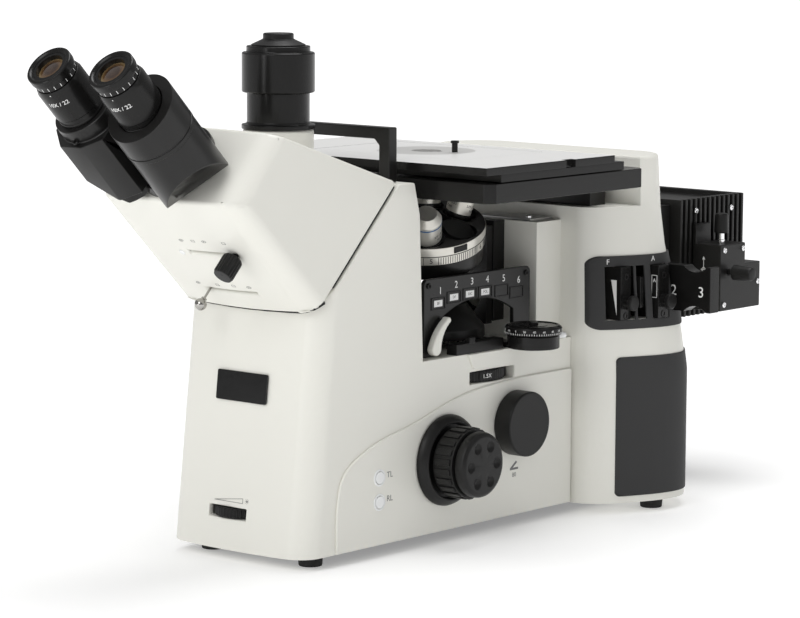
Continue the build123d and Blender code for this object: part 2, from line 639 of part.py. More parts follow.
drum_w1 = -TURRET_T - SLIDE
drum_w0 = drum_w1 - DRUM_T
carrier = disc(drum_w0, drum_w1, DRUM_R)
carrier += box(-34, 2, 6, GUIDE_Y - SLIDE, 236, 250) - disc(drum_w1, 60, DRUM_R + 10)
carrier += box(-26, 26, GUIDE_Y - 8.3, GUIDE_Y - SLIDE, 166, 250)
carrier += box(RACK_X - RACK_W / 2, -20, GUIDE_Y - 8.3, GUIDE_Y - SLIDE, 205, 219)
carrier += box(RACK_X - RACK_W / 2, RACK_X + RACK_W / 2, rack_y0 + 3, GUIDE_Y - SLIDE, 205, 219)
carrier -= box(-KEY_X - RUN, KEY_X + RUN, GUIDE_Y - 5.3, GUIDE_Y + 5, 160, 260)
carrier -= cyl_y(0, 30, 80, LAMP_Z, LAMP_BORE_R + 4)
carrier -= cyl_z(0, 0, 150, SEAT_Z, 10)
carrier += disc(drum_w1 - 5, 0, PIVOT_R)
carrier += disc(-4 + SLIDE, 0, PIVOT_R + 5)
guide = box(-50, 27, GUIDE_Y, ARM_Y, 168, ARM_TOP)
guide += box(-KEY_X, KEY_X, GUIDE_Y - 5, ARM_Y, 168, ARM_TOP)
guide -= cyl_y(0, 30, 80, LAMP_Z, LAMP_BORE_R)
pieces["inner_brackets"] = group(rear_support, front_support, guide)

# Rack and pinion

pitch = math.pi * PINION_MODULE
slope = math.tan(math.radians(20))
half_tooth = 0.21 * pitch
tip_half = half_tooth - PINION_MODULE * slope * 0.85
root_half = half_tooth + 1.25 * PINION_MODULE * slope * 0.85
tip_r = pitch_r + PINION_MODULE * 0.9
root_r = pitch_r - 1.25 * PINION_MODULE
gear_points = []
for tooth in range(PINION_TEETH):
    mid = (tooth + 0.5) * 2 * math.pi / PINION_TEETH
    for r, half in ((root_r, -root_half), (tip_r, -tip_half), (tip_r, tip_half), (root_r, root_half)):
        angle = mid + half / r
        gear_points.append((FOCUS_Y + r * math.cos(angle), FOCUS_Z + r * math.sin(angle)))
pinion = prism_x(gear_points, RACK_X - RACK_W / 2 + 1, RACK_X + RACK_W / 2 - 1)
rack_line = FOCUS_Y + pitch_r
rack_points = [(rack_y1, 45), (rack_y1, 219), (rack_line + 1.25 * PINION_MODULE, 219)]
for tooth in range(6, -7, -1):
    z = FOCUS_Z + tooth * pitch
    rack_points += [
        (rack_line + 1.25 * PINION_MODULE, z + root_half), (rack_line - 0.9 * PINION_MODULE, z + tip_half),
        (rack_line - 0.9 * PINION_MODULE, z - tip_half), (rack_line + 1.25 * PINION_MODULE, z - root_half),
    ]
rack_points.append((rack_line + 1.25 * PINION_MODULE, 45))
rack = prism_x(rack_points, RACK_X - RACK_W / 2, RACK_X + RACK_W / 2)
pieces["nosepiece_carrier"] = carrier + rack

flange_x = panel_x
coarse_x = flange_x + FLANGE_T + SLIDE
fine_x = coarse_x + COARSE_T + SLIDE
shaft = cyl_x(-coarse_x - 4, coarse_x + 4, FOCUS_Y, FOCUS_Z, SHAFT_R)
shaft += pinion
shaft -= cyl_x(-200, 200, FOCUS_Y, FOCUS_Z, FINE_SHAFT_R + RUN)
fine_end = fine_x + FINE_T
fine_shaft = cyl_x(-fine_x - 4, fine_x + 4, FOCUS_Y, FOCUS_Z, FINE_SHAFT_R)
collar = cyl_x(flange_x, flange_x + FLANGE_T, FOCUS_Y, FOCUS_Z, FLANGE_R)
collar -= cyl_x(0, 200, FOCUS_Y, FOCUS_Z, SHAFT_R + RUN)
pieces["focus_rings"] = group(collar, mirrored(collar))
coarse = cyl_x(coarse_x, coarse_x + COARSE_T, FOCUS_Y, FOCUS_Z, COARSE_R)
coarse -= cyl_x(0, coarse_x + 4, FOCUS_Y, FOCUS_Z, SHAFT_R)
coarse -= cyl_x(0, 200, FOCUS_Y, FOCUS_Z, FINE_SHAFT_R + RUN)
pieces["coarse_drive"] = group(shaft, coarse, mirrored(coarse))
fine = cyl_x(fine_x, fine_end, FOCUS_Y, FOCUS_Z, FINE_R)
for dimple in range(6):
    angle = math.radians(dimple * 60 + 30)
    centre = (FOCUS_Y + 15 * math.cos(angle), FOCUS_Z + 15 * math.sin(angle))
    fine -= cyl_x(fine_end - 1.5, fine_end + 1, centre[0], centre[1], 4)
fine -= cyl_x(0, fine_x + 4, FOCUS_Y, FOCUS_Z, FINE_SHAFT_R)
pieces["fine_drive"] = group(fine_shaft, fine, mirrored(fine))


# Side port cap, buttons, dimmer and magnification wheel

port_cap = cyl_x(panel_x, panel_x + PORT_T, PORT_Y, PORT_Z, PORT_R)
port_cap += cyl_x(panel_x - 12, panel_x, PORT_Y, PORT_Z, PORT_BORE_R - SEAT)
pieces["side_port_cap"] = port_cap
for tag, button_z in zip(("transmitted", "reflected"), BUTTON_Z):
    button = cyl_x(BODY_W / 2 + 1.5, panel_x + 1.2, BUTTON_Y, button_z, BUTTON_R)
    button += cyl_x(BODY_W / 2 - 14, BODY_W / 2 + 1.5, BUTTON_Y, button_z, BUTTON_R - 1 - RUN)
    pieces["lamp_button_" + tag] = button
dimmer = cyl_z(DIMMER_X, dimmer_y, DIMMER_Z - DIMMER_W / 2, DIMMER_Z + DIMMER_W / 2, DIMMER_R)
pieces["dimmer_wheel"] = dimmer
mag = cyl_z(MAG_X, MAG_Y, MAG_Z - MAG_T / 2, MAG_Z + MAG_T / 2, MAG_R)
mag -= cyl_z(MAG_X, MAG_Y, 100, 200, 6 + RUN)
for window_angle in (180, 300, 60):
    angle = math.radians(window_angle)
    mag -= cyl_z(MAG_X + MAG_X * math.cos(angle), MAG_Y + MAG_X * math.sin(angle), 100, 200, 6)
pieces["magnification_wheel"] = mag
pieces["main_stand"] += cyl_z(MAG_X, MAG_Y, MAG_Z - 20, DECK_Z - WALL, 6)


# Reflector turret, cover, shutter lever and analyser

arch = [Line((-57, DECK_Z - 1), (-57, 184)), ThreePointArc((-57, 184), (-9, 197), (39, 184)),
        Line((39, 184), (39, DECK_Z - 1)), Line((39, DECK_Z - 1), (-57, DECK_Z - 1))]
cover = rounded_x(COVER_Y0, COVER_Y1, DECK_Z - 10, COVER_TOP, COVER_X - COVER_T, COVER_X, 5)
cover &= box(0, BODY_W, -200, 200, DECK_Z, 300)
cover -= extrude(Plane.YZ * make_face(arch), BODY_W)
cover += box(COVER_X - 14, COVER_X - COVER_T, COVER_Y0, COVER_Y0 + 6, DECK_Z, 200)
cover += box(COVER_X - 14, COVER_X - COVER_T, COVER_Y1 - 6, COVER_Y1, DECK_Z, 200)
cover -= cyl_x(0, BODY_W, LEVER_PIN_Y, LEVER_Z + 4, 2.5 + RUN)
pieces["reflector_cover"] = cover
wheel = cyl_z(WHEEL_X, WHEEL_Y, WHEEL_Z0, WHEEL_Z0 + 8, WHEEL_R)
wheel += Pos(WHEEL_X, WHEEL_Y, WHEEL_Z0 + 8) * extrude(Circle(WHEEL_R), WHEEL_Z1 - WHEEL_Z0 - 8, taper=38)
cube_r = math.hypot(WHEEL_X, WHEEL_Y)
start = math.atan2(-WHEEL_Y, -WHEEL_X)
for place in range(PLACES):
    angle = start + place * 2 * math.pi / PLACES
    wheel -= cyl_z(WHEEL_X + cube_r * math.cos(angle), WHEEL_Y + cube_r * math.sin(angle), 100, 300, 6.5)
wheel -= cyl_z(WHEEL_X, WHEEL_Y, 100, 300, 4 + RUN)
pieces["reflector_wheel"] = wheel
axle = cyl_z(WHEEL_X, WHEEL_Y, DECK_Z, WHEEL_Z1 + 2, 4)
axle += cyl_z(WHEEL_X, WHEEL_Y, DECK_Z, WHEEL_Z0 - SLIDE, 10)
pieces["main_stand"] += axle

lever_face = make_face([
    ThreePointArc((-5.2, 0), (0, -6), (6, 0)), Spline((6, 0), (8.2, 9), (16.5, 19.5)),
    ThreePointArc((16.5, 19.5), (18, 23.2), (13.5, 23.2)), Spline((13.5, 23.2), (3, 14.2), (-5.2, 0)),
])
lever = Pos(COVER_X + 2, LEVER_Y, LEVER_Z + 2) * extrude(Plane.YZ * lever_face, 7)
lever += cyl_x(COVER_X - COVER_T - 4, COVER_X + 2, LEVER_PIN_Y, LEVER_Z + 4, 2.5)
pieces["shutter_lever"] = lever

slider = box(30, DIAL_X, DIAL_Y - 14, DIAL_Y + 2, DECK_Z + SLIDE, DECK_Z + SLIDE + 4)
slider += cyl_z(DIAL_X, DIAL_Y, DECK_Z + SLIDE, DECK_Z + SLIDE + 11, DIAL_R - 2)
slider += cyl_z(DIAL_X, DIAL_Y, DECK_Z + SLIDE, DECK_Z + 22, 4)
pieces["analyser_slider"] = slider
dial = cyl_z(DIAL_X, DIAL_Y, DECK_Z + 12, DECK_Z + 20, DIAL_R) - cyl_z(DIAL_X, DIAL_Y, 100, 300, 4 + RUN)
pieces["analyser_dial"] = dial


# Diaphragm units and filter slider in the tower window

def unit(y0, y1, x1):
    slab = box(-24, x1, y0, y1, WINDOW_Z0 + SLIDE, WINDOW_Z1 - SLIDE)
    slab += cyl_x(x1, x1 + 6, (y0 + y1) / 2, LAMP_Z - 8, 6)
    return slab - cyl_y(0, y0 - 1, y1 + 1, LAMP_Z, 10)


pieces["field_unit"] = unit(126, 141, 112)
pieces["aperture_unit"] = unit(160, 175, 127)
fin = cyl_y(0, 146, 151, LAMP_Z, 18) + box(0, 116, 146, 151, LAMP_Z - 6, LAMP_Z + 6)
fin += box(92, 118, 146, 151, LAMP_Z - 13.5, LAMP_Z + 13.5)
pieces["field_lever"] = fin - cyl_y(0, 100, 200, LAMP_Z, LEVER_R)
filters = box(-24, FILTER_X1, SLIDER_Y0, SLIDER_Y1, SLIDER_Z0, SLIDER_Z1)
for place in range(3):
    filters -= cyl_y(place * 30, 100, 300, LAMP_Z, 11)
scallop = 16
filters -= cyl_y(FILTER_X1 - 16, 100, 300, SLIDER_Z1 + scallop - 5, scallop)
filters -= cyl_y(FILTER_X1 - 16, 100, 300, SLIDER_Z0 - scallop + 5, scallop)
pieces["filter_slider"] = filters


# Lamp house

lamp = box(-LAMP_X + FIN_H, LAMP_X - FIN_H, LAMP_Y0, LAMP_Y1, LAMP_Z0 + FIN_H, LAMP_Z1)
fin_pitch = (LAMP_Y1 - LAMP_Y0) / (FINS - 0.5)
for fin_i in range(FINS):
    y0 = LAMP_Y0 + fin_i * fin_pitch
    lamp += box(-LAMP_X, LAMP_X, y0, y0 + fin_pitch / 2, LAMP_Z0, LAMP_Z1)
lamp -= box(-LAMP_X + 7, LAMP_X - 7, LAMP_Y0 + 7, LAMP_Y1 - 7, LAMP_Z1 - 5, LAMP_Z1 + 1)
lamp -= box(-38, 38, LAMP_Y0 + 10, LAMP_Y1 - 12, LAMP_Z - 34, LAMP_Z + 34)
lamp -= cyl_y(0, LAMP_Y0 - 5, LAMP_Y0 + 20, LAMP_Z, LAMP_BORE_R)
pieces["lamp_house"] = lamp
adaptor = cyl_y(0, TOWER_REAR - 36, LAMP_Y0, LAMP_Z, 30) - tower
adaptor += box(-46, 46, LAMP_Y0 - 14, LAMP_Y0, LAMP_Z - 40, LAMP_Z + 60)
pieces["lamp_adaptor"] = adaptor - cyl_y(0, 200, 400, LAMP_Z, LAMP_BORE_R)
bracket = box(LAMP_X, BRACKET_X, BRACKET_Y, BRACKET_Y + 39, BRACKET_Z0, BRACKET_TOP)
bracket += box(LAMP_X, BRACKET_X, BRACKET_Y + 38, BRACKET_Y + 63, BRACKET_Z0, BRACKET_STEP)
bracket += box(LAMP_X, LAMP_X + 4, BRACKET_Y, BRACKET_Y + 23, BRACKET_TOP - 1, BRACKET_TOP + 17.5)
bracket -= cyl_z(KNOB_V_X, KNOB_V_Y, BRACKET_TOP - 27, BRACKET_TOP + 43, 2.5 + RUN)
bracket -= cyl_x(BRACKET_X - 25, BRACKET_X + 11, KNOB_H_Y, KNOB_H_Z, 2.5 + RUN)
pieces["lamp_bracket"] = bracket
upright = cyl_z(KNOB_V_X, KNOB_V_Y, BRACKET_TOP - 17, BRACKET_TOP + 9, 2.5)
upright += cyl_z(KNOB_V_X, KNOB_V_Y, BRACKET_TOP + 9, BRACKET_TOP + 27, 6.5)
pieces["lamp_knob_upright"] = upright
level = cyl_x(BRACKET_X - 22, BRACKET_X + 6, KNOB_H_Y, KNOB_H_Z, 2.5)
level += cyl_x(BRACKET_X + 6, BRACKET_X + 26, KNOB_H_Y, KNOB_H_Z, 7)
pieces["lamp_knob_level"] = level
bulb_y = LAMP_Y0 + 52
bulb = cyl_z(0, bulb_y, LAMP_Z - 12, LAMP_Z + 14, 6) + cyl_z(0, bulb_y, LAMP_Z - 34, LAMP_Z - 12, 12)
pieces["lamp_bulb"] = bulb


# Inside the stand and the head

floor_z = FOOT_H + PLATE_T
fold_mirror = prism_x([(-18, floor_z), (18, floor_z), (18, floor_z + MIRROR_H)], -18, 18)
relay_mirror = prism_x([(-182, floor_z), (-146, floor_z), (-182, floor_z + MIRROR_H)], -18, 18)
tube_lens = cyl_y(0, -112, -104, floor_z + 20, 16) + box(-10, 10, -112, -104, floor_z, floor_z + 10)
beam_prism = box(-15, 15, -224, -196, 235, 263)
collector = cyl_y(0, 206, 212, LAMP_Z, LAMP_BORE_R - RUN)
pieces["inner_optics"] = group(fold_mirror, relay_mirror, tube_lens, beam_prism, collector)
board = box(-50, 50, 122, 222, floor_z + 5, floor_z + 7)
for post_x in (-44, 44):
    for post_y in (128, 216):
        board += cyl_z(post_x, post_y, floor_z, floor_z + 5, 3)
pieces["control_board"] = board
inlet = box(-INLET_W / 2, INLET_W / 2, TOWER_REAR - 28, TOWER_REAR + 1,
            INLET_Z - INLET_H / 2, INLET_Z + INLET_H / 2)
inlet -= box(-14, 14, TOWER_REAR - 18, TOWER_REAR + 2, INLET_Z - 9, INLET_Z + 9)
for pin_x in (-7, 0, 7):
    inlet += box(pin_x - 1, pin_x + 1, TOWER_REAR - 19, TOWER_REAR - 4, INLET_Z - 3, INLET_Z + 3)
switch_frame = box(SWITCH_X - SWITCH_W / 2, SWITCH_X + SWITCH_W / 2, TOWER_REAR - 20, TOWER_REAR + 1,
                   INLET_Z - INLET_H / 2, INLET_Z + INLET_H / 2)
switch_frame -= box(SWITCH_X - 8, SWITCH_X + 8, TOWER_REAR - 12, TOWER_REAR + 2, INLET_Z - 12, INLET_Z + 12)
pieces["power_inlet"] = group(inlet, switch_frame)
rocker = cyl_x(SWITCH_X - 7.6, SWITCH_X + 7.6, TOWER_REAR - 6, INLET_Z, ROCKER_R - 0.6)
rocker &= box(0, 100, TOWER_REAR - 9, TOWER_REAR + 3, 0, 200)
pieces["power_switch"] = rocker

# Export about the middle of the underside

boxes = [solid.bounding_box() for solid in pieces.values()]
low = Vector(min(b.min.X for b in boxes), min(b.min.Y for b in boxes), min(b.min.Z for b in boxes))
high = Vector(max(b.max.X for b in boxes), max(b.max.Y for b in boxes), max(b.max.Z for b in boxes))
shift = Vector(-(low.X + high.X) / 2, -(low.Y + high.Y) / 2, -low.Z)
os.makedirs("parts", exist_ok=True)
for name, solid in pieces.items():
    export_step(Pos(shift.X, shift.Y, shift.Z) * solid, "parts/" + name + ".step")
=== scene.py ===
import json
import math

import bpy
from mathutils import Matrix, Vector


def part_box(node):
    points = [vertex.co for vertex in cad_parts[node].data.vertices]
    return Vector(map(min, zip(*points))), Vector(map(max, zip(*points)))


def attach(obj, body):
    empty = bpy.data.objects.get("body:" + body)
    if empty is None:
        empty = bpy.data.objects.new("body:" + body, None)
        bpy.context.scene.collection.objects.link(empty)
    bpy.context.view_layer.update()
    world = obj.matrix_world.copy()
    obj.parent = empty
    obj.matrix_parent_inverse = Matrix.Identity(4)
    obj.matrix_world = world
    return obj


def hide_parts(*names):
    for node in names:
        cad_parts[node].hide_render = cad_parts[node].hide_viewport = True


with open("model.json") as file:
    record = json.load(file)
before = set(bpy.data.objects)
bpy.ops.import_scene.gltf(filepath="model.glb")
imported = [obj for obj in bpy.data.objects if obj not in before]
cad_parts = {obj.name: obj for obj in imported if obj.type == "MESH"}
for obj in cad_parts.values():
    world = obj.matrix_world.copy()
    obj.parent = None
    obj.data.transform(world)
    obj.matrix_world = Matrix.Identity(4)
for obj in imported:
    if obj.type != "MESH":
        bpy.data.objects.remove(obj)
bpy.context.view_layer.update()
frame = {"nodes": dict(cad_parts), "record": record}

bl_info = {
    "name": "Inverted Microscope Dressing",
    "version": (1, 0, 0),
    "blender": (4, 5, 0),
    "location": "View3D > Sidebar > Microscope",
    "description": "Finishes and detail pieces for an inverted reflected-light microscope",
    "category": "Object",
}

MM = 0.001
INSERT_LOW, INSERT_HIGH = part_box("stage_insert")
OPTICAL_AXIS = Vector(((INSERT_LOW.x + INSERT_HIGH.x) / 2, (INSERT_LOW.y + INSERT_HIGH.y) / 2, 0.0))
NODE_BODY = {n: body for body, names in frame["record"]["behaviour"]["bodies"].items() for n in names}
SLOT_OF = {row["node"]: row["material_slot"] for row in frame["record"]["subparts"]}

# Places measured from the optical axis, the mid-plane and the bench, in millimetres
TUBE_UP = (0, math.sqrt(0.5), math.sqrt(0.5))
TUBE_PIVOT = (0, -299, 324)
TUBE_DROP = 20
EYE_HALF = 33
FACE_FOOT = (0, -226, 205)
FACE_UP = (0, -0.722, 0.6919)
FRONT_RADIUS = 471.75
FRONT_LEAN = 0.115
CAMERA_AXIS_Y = -185
FOCUS_Y, FOCUS_Z = -66, 70
PANEL_X = 77
COVER_X = 64
LAMP_Z = 192
BASE_FRONT_Y, BASE_FOOT_Z = -242, 10
CORNER_R, CORNER_X = 22, 53   # rounding of the head's front corners, and where it starts
PART_TOP, PART_FOOT = (-124.7, 299.5), (-215.7, 207.6)   # parting line under the head, as y and z
TURRET_R = 50
MAGNIFIER_HUB, MAGNIFIER_R = (34.5, -2, 133), 42.0
DIMMER_HUB = (-6.5, -217.55, 40)
REFLECTOR_HUB = (16, -8, 162)
ANALYSER_HUB = (92, 31, 154)
LAMP_UPRIGHT, LAMP_LEVEL = (76, 326, 226), (95, 320, LAMP_Z)
LETTER_DEPTH = 0.12
PRINT, LIFT = 0.1, 0.02   # thickness of printed signs, and their height above the paint

# Studio: degrees, metres and watts
CAMERA_TURN, CAMERA_RISE, CAMERA_ROLL = 40.15, 7.48, 0.31
CAMERA_AIM, CAMERA_LENS = (-27.9, 0, 179.0), 153.3
FLOOR_SIZE = 70
AIR_LIGHT = 0.34
LIGHTS = (("key", (0.45, -2.6, 1.9), 1.6, 31), ("side", (2.6, 0.6, 1.1), 0.7, 1.6),
          ("top", (0.0, 0.4, 2.2), 1.5, 33), ("low", (-0.2, -2.4, 0.15), 0.5, 3.2))


def mm(*values):
    return tuple(v * MM for v in values)


def shift(x, y, z):
    return Matrix.Translation(mm(x, y, z))


def spun(degrees, axis="Z"):
    return Matrix.Rotation(math.radians(degrees), 4, axis)


def spot(x, y, z):
    """Point measured in millimetres from the optical axis and the bench."""
    return OPTICAL_AXIS + Vector((x, y, z)) * MM


def seat(origin, right, up):
    """Matrix that sets local X along right and local Y along up, at a measured point."""
    x = Vector(right).normalized()
    z = x.cross(Vector(up)).normalized()
    matrix = Matrix((x, z.cross(x), z)).transposed().to_4x4()
    matrix.translation = spot(*origin)
    return matrix


def upright(x, y, z):
    """Seat whose local Z points up."""
    return seat((x, y, z), (1, 0, 0), (0, 1, 0))


def sideways(x, y, z):
    """Seat on a right-hand side face: local X towards the lamp, Y up, Z outwards."""
    return seat((x, y, z), (0, 1, 0), (0, 0, 1))


def frontal(x, y, z):
    """Seat on a face towards the user: local X to the right, Y up."""
    return seat((x, y, z), (1, 0, 0), (0, 0, 1))


def bow(x):
    """How far the bowed front falls back at a distance from the mid-plane."""
    return FRONT_RADIUS - math.sqrt(FRONT_RADIUS ** 2 - x ** 2)


def head_face(u, v, lift=0.0):
    """Seat on the head's lower front face: u across, v up the face."""
    slope = u / math.sqrt(FRONT_RADIUS ** 2 - u ** 2)
    y = FACE_FOOT[1] + FACE_UP[1] * v + bow(u)
    z = FACE_FOOT[2] + FACE_UP[2] * v
    matrix = seat((u, y, z), (1, slope, 0), FACE_UP)
    return matrix @ shift(0, 0, lift)


def base_face(x, z, lift=0.0):
    """Seat on the leaning front of the base."""
    slope = x / math.sqrt(FRONT_RADIUS ** 2 - x ** 2)
    y = BASE_FRONT_Y + FRONT_LEAN * (z - BASE_FOOT_Z) + bow(x)
    matrix = seat((x, y, z), (1, slope, 0), (0, FRONT_LEAN, 1))
    return matrix @ shift(0, 0, lift)


# Modelling

def deselect():
    bpy.ops.object.select_all(action="DESELECT")


def only(obj):
    if bpy.context.mode != "OBJECT":
        bpy.ops.object.mode_set(mode="OBJECT")
    deselect()
    obj.select_set(True)
    bpy.context.view_layer.objects.active = obj


def open_mesh(obj, kind="VERT", action="SELECT"):
    only(obj)
    bpy.ops.object.mode_set(mode="EDIT")
    bpy.ops.mesh.select_mode(type=kind)
    bpy.ops.mesh.select_all(action=action)


def close_mesh():
    bpy.ops.object.mode_set(mode="OBJECT")


def pick(obj, kind, test):
    """Opens a mesh with only the vertices or faces that pass the test selected."""
    open_mesh(obj, kind, "DESELECT")
    close_mesh()
    for item in (obj.data.vertices if kind == "VERT" else obj.data.polygons):
        item.select = bool(test(item))
    bpy.ops.object.mode_set(mode="EDIT")


def round_edges(obj, width, segments=2, angle=32):
    """Rounds the sharp edges of a piece and smooths its shading."""
    only(obj)
    if width:
        bpy.ops.object.modifier_add(type="BEVEL")
        bevel = obj.modifiers[-1]
        bevel.width = width * MM
        bevel.segments = segments
        bevel.limit_method = "ANGLE"
        bevel.angle_limit = math.radians(angle)
        bevel.use_clamp_overlap = False
        bpy.ops.object.modifier_apply(modifier=bevel.name)
    bpy.ops.object.shade_smooth_by_angle(angle=math.radians(angle))
    bpy.ops.object.modifier_add(type="WEIGHTED_NORMAL")
    weighted = obj.modifiers[-1]
    weighted.keep_sharp = True
    bpy.ops.object.modifier_apply(modifier=weighted.name)
    return obj


def place(obj, matrix):
    """Puts a piece's place into its mesh."""
    only(obj)
    obj.matrix_world = matrix @ obj.matrix_world
    bpy.ops.object.transform_apply(location=True, rotation=True, scale=True)
    return obj


def new_vertex(x, y, z):
    """Starts a mesh as one vertex, left open for editing."""
    deselect()
    bpy.ops.mesh.primitive_plane_add(size=MM)
    obj = bpy.context.object
    open_mesh(obj)
    bpy.ops.mesh.merge(type="CENTER")
    bpy.ops.transform.translate(value=(x, y, z))
    return obj


def draw_on(points):
    """Extrudes the open vertex along a run of points in millimetres."""
    for a, b in zip(points, points[1:]):
        step = tuple((q - p) * MM for p, q in zip(a, b))
        bpy.ops.mesh.extrude_region_move(TRANSFORM_OT_translate={"value": step})


def turned(profile, steps=72, edge=0.0, segments=2):
    """Round piece about local Z, spun from an (r, height) profile in millimetres."""
    points = [(r, 0, h) for r, h in profile]
    obj = new_vertex(*mm(*points[0]))
    draw_on(points)
    bpy.ops.mesh.select_all(action="SELECT")
    bpy.ops.mesh.spin(steps=steps, angle=math.tau, center=(0, 0, 0), axis=(0, 0, 1))
    bpy.ops.mesh.select_all(action="SELECT")
    bpy.ops.mesh.remove_doubles(threshold=1e-6)
    bpy.ops.mesh.normals_make_consistent(inside=False)
    close_mesh()
    return round_edges(obj, edge, segments)


def slab(points, depth, edge=0.0, segments=2):
    """Flat piece with the given outline in local XY, from z = 0 to depth."""
    run = [(x, y, 0) for x, y in points]
    obj = new_vertex(*mm(*run[0]))
    draw_on(run)
    bpy.ops.mesh.select_all(action="SELECT")
    bpy.ops.mesh.edge_face_add()
    bpy.ops.mesh.extrude_region_move(TRANSFORM_OT_translate={"value": (0, 0, depth * MM)})
    bpy.ops.mesh.select_all(action="SELECT")
    bpy.ops.mesh.normals_make_consistent(inside=False)
    close_mesh()
    return round_edges(obj, edge, segments)


def block(w, h, d, edge=0.4, segments=2, centre=(0, 0, 0)):
    """Rounded block of size w, h, d about a centre, in millimetres."""
    deselect()
    bpy.ops.mesh.primitive_cube_add(size=1)
    obj = bpy.context.object
    obj.scale = mm(w, h, d)
    obj.location = mm(*centre)
    bpy.ops.object.transform_apply(location=True, rotation=True, scale=True)
    open_mesh(obj, "EDGE")
    bpy.ops.mesh.bevel(offset=edge * MM, segments=segments, affect="EDGES")
    close_mesh()
    return round_edges(obj, 0)


def ribs(obj, steps, low, high, least, depth):
    """Pulls grooves into the rim of a turned piece with four steps to the rib."""
    def groove(vertex):
        x, y, z = vertex.co / MM
        count = round(math.atan2(y, x) / math.tau * steps) % 4
        return low <= z <= high and math.hypot(x, y) > least and count < 2
    pick(obj, "VERT", groove)
    shrink = 1 - depth / least
    bpy.ops.transform.resize(value=(shrink, shrink, 1), center_override=(0, 0, 0))
    close_mesh()
    return round_edges(obj, 0, angle=25)


def joined(*objs):
    """Makes one piece of several."""
    only(objs[0])
    for obj in objs:
        obj.select_set(True)
    bpy.ops.object.join()
    return bpy.context.object


def copied(obj, matrix):
    """Copy of a piece, with its own mesh, at another place."""
    only(obj)
    bpy.ops.object.duplicate(linked=False)
    return place(bpy.context.object, matrix)


def words(text, size):
    """Printed figures centred on the local origin, as a thin mesh."""
    deselect()
    bpy.ops.object.text_add()
    obj = bpy.context.object
    obj.data.body = text
    obj.data.size = size * MM
    obj.data.align_x = "CENTER"
    obj.data.align_y = "CENTER"
    obj.data.extrude = LETTER_DEPTH / 2 * MM
    obj.data.resolution_u = 3
    bpy.ops.object.convert(target="MESH")
    return bpy.context.object


def wrapped(obj, radius):
    """Rolls a flat print round a turned piece: its X runs round local Z, its Y along Z."""
    for vertex in obj.data.vertices:
        x, y, z = vertex.co
        angle = x / (radius * MM)
        reach = radius * MM + z
        vertex.co = (reach * math.sin(angle), -reach * math.cos(angle), y)
    return obj


def round_print(text, size, radius, degrees, height):
    """Figures rolled round local Z, at an angle and a height."""
    return place(wrapped(words(text, size), radius), spun(degrees) @ shift(0, 0, height))


def around(obj, count, start=0.0, skip=()):
    """Copies a piece round local Z and joins the copies."""
    copies = []
    for i in range(count):
        if i not in skip:
            copies.append(copied(obj, spun(start + 360.0 * i / count)))
    bpy.data.objects.remove(obj)
    return joined(*copies)


def trimmed(obj, point, normal):
    """Cuts off what lies beyond a plane and closes the cut."""
    open_mesh(obj)
    bpy.ops.mesh.bisect(plane_co=point, plane_no=normal, use_fill=True, clear_outer=True)
    close_mesh()


def cut_away(obj, tool):
    """Cuts one piece with another, which is used up."""
    only(obj)
    bpy.ops.object.modifier_add(type="BOOLEAN")
    cut = obj.modifiers[-1]
    cut.operation = "DIFFERENCE"
    cut.solver = "EXACT"
    cut.use_self = True
    cut.object = tool
    bpy.ops.object.modifier_apply(modifier=cut.name)
    bpy.data.objects.remove(tool)
    return round_edges(obj, 0)


def screw(radius, height, socket=True):
    """Cap screw standing on z = 0, with a hexagon socket or a cross slot."""
    head = turned([(0, 0), (radius, 0), (radius, height * 0.75), (radius * 0.8, height), (0, height)], 24, 0.1)
    if socket:
        deselect()
        bpy.ops.mesh.primitive_cylinder_add(vertices=6, radius=radius * 0.5 * MM, depth=height * MM)
        tool = bpy.context.object
    else:
        wide, thin = radius * 1.3, radius * 0.28
        tool = joined(block(wide, thin, height, 0.02), block(thin, wide, height, 0.02))
    return cut_away(head, place(tool, shift(0, 0, height)))


def softened(node, edge, segments=2):
    """Copy of a CAD node with its edges rounded."""
    obj = bpy.data.objects.new(node + "_shell", frame["nodes"][node].data.copy())
    bpy.context.scene.collection.objects.link(obj)
    only(obj)
    bpy.ops.mesh.customdata_custom_splitnormals_clear()
    open_mesh(obj)
    bpy.ops.mesh.remove_doubles(threshold=2e-6)
    bpy.ops.mesh.dissolve_limited(angle_limit=math.radians(0.4))
    close_mesh()
    return round_edges(obj, edge, segments)


def hoop(inner, outer, low, high):
    """Closed square profile of a flat ring."""
    return [(inner, low), (outer, low), (outer, high), (inner, high), (inner, low)]


def line(w, h, x, y):
    """Printed line about a point of the local XY plane."""
    return block(w, h, PRINT, 0.02, 1, (x, y, PRINT / 2))


def finish(obj, name, body, look, *nodes, slot=None):
    """Names a piece, or several as one, gives it its finish and sets it on its body."""
    if isinstance(obj, list):
        obj = joined(*obj)
    obj.name = name
    obj.data.name = name
    if look:
        obj.data.materials.clear()
        obj.data.materials.append(LOOKS[look])
    slot = slot or LOOK_SLOT[look]
    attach(obj, body)
    if nodes:
        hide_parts(*nodes)
    return obj


def dress(node, look, edge, segments=2):
    """Stands a rounded copy in for a CAD node."""
    return finish(softened(node, edge, segments), node + "_shell", NODE_BODY[node], look, node, slot=SLOT_OF[node])


def paint_faces(obj, look, test):
    """Gives the faces that pass the test a second finish."""
    obj.data.materials.append(LOOKS[look])
    pick(obj, "FACE", test)
    obj.active_material_index = 1
    bpy.ops.object.material_slot_assign()
    close_mesh()


def repaint(node, look):
    """Gives a CAD node that stays in view its finish."""
    mesh = frame["nodes"][node].data
    mesh.materials.clear()
    mesh.materials.append(LOOKS[look])


# Finishes

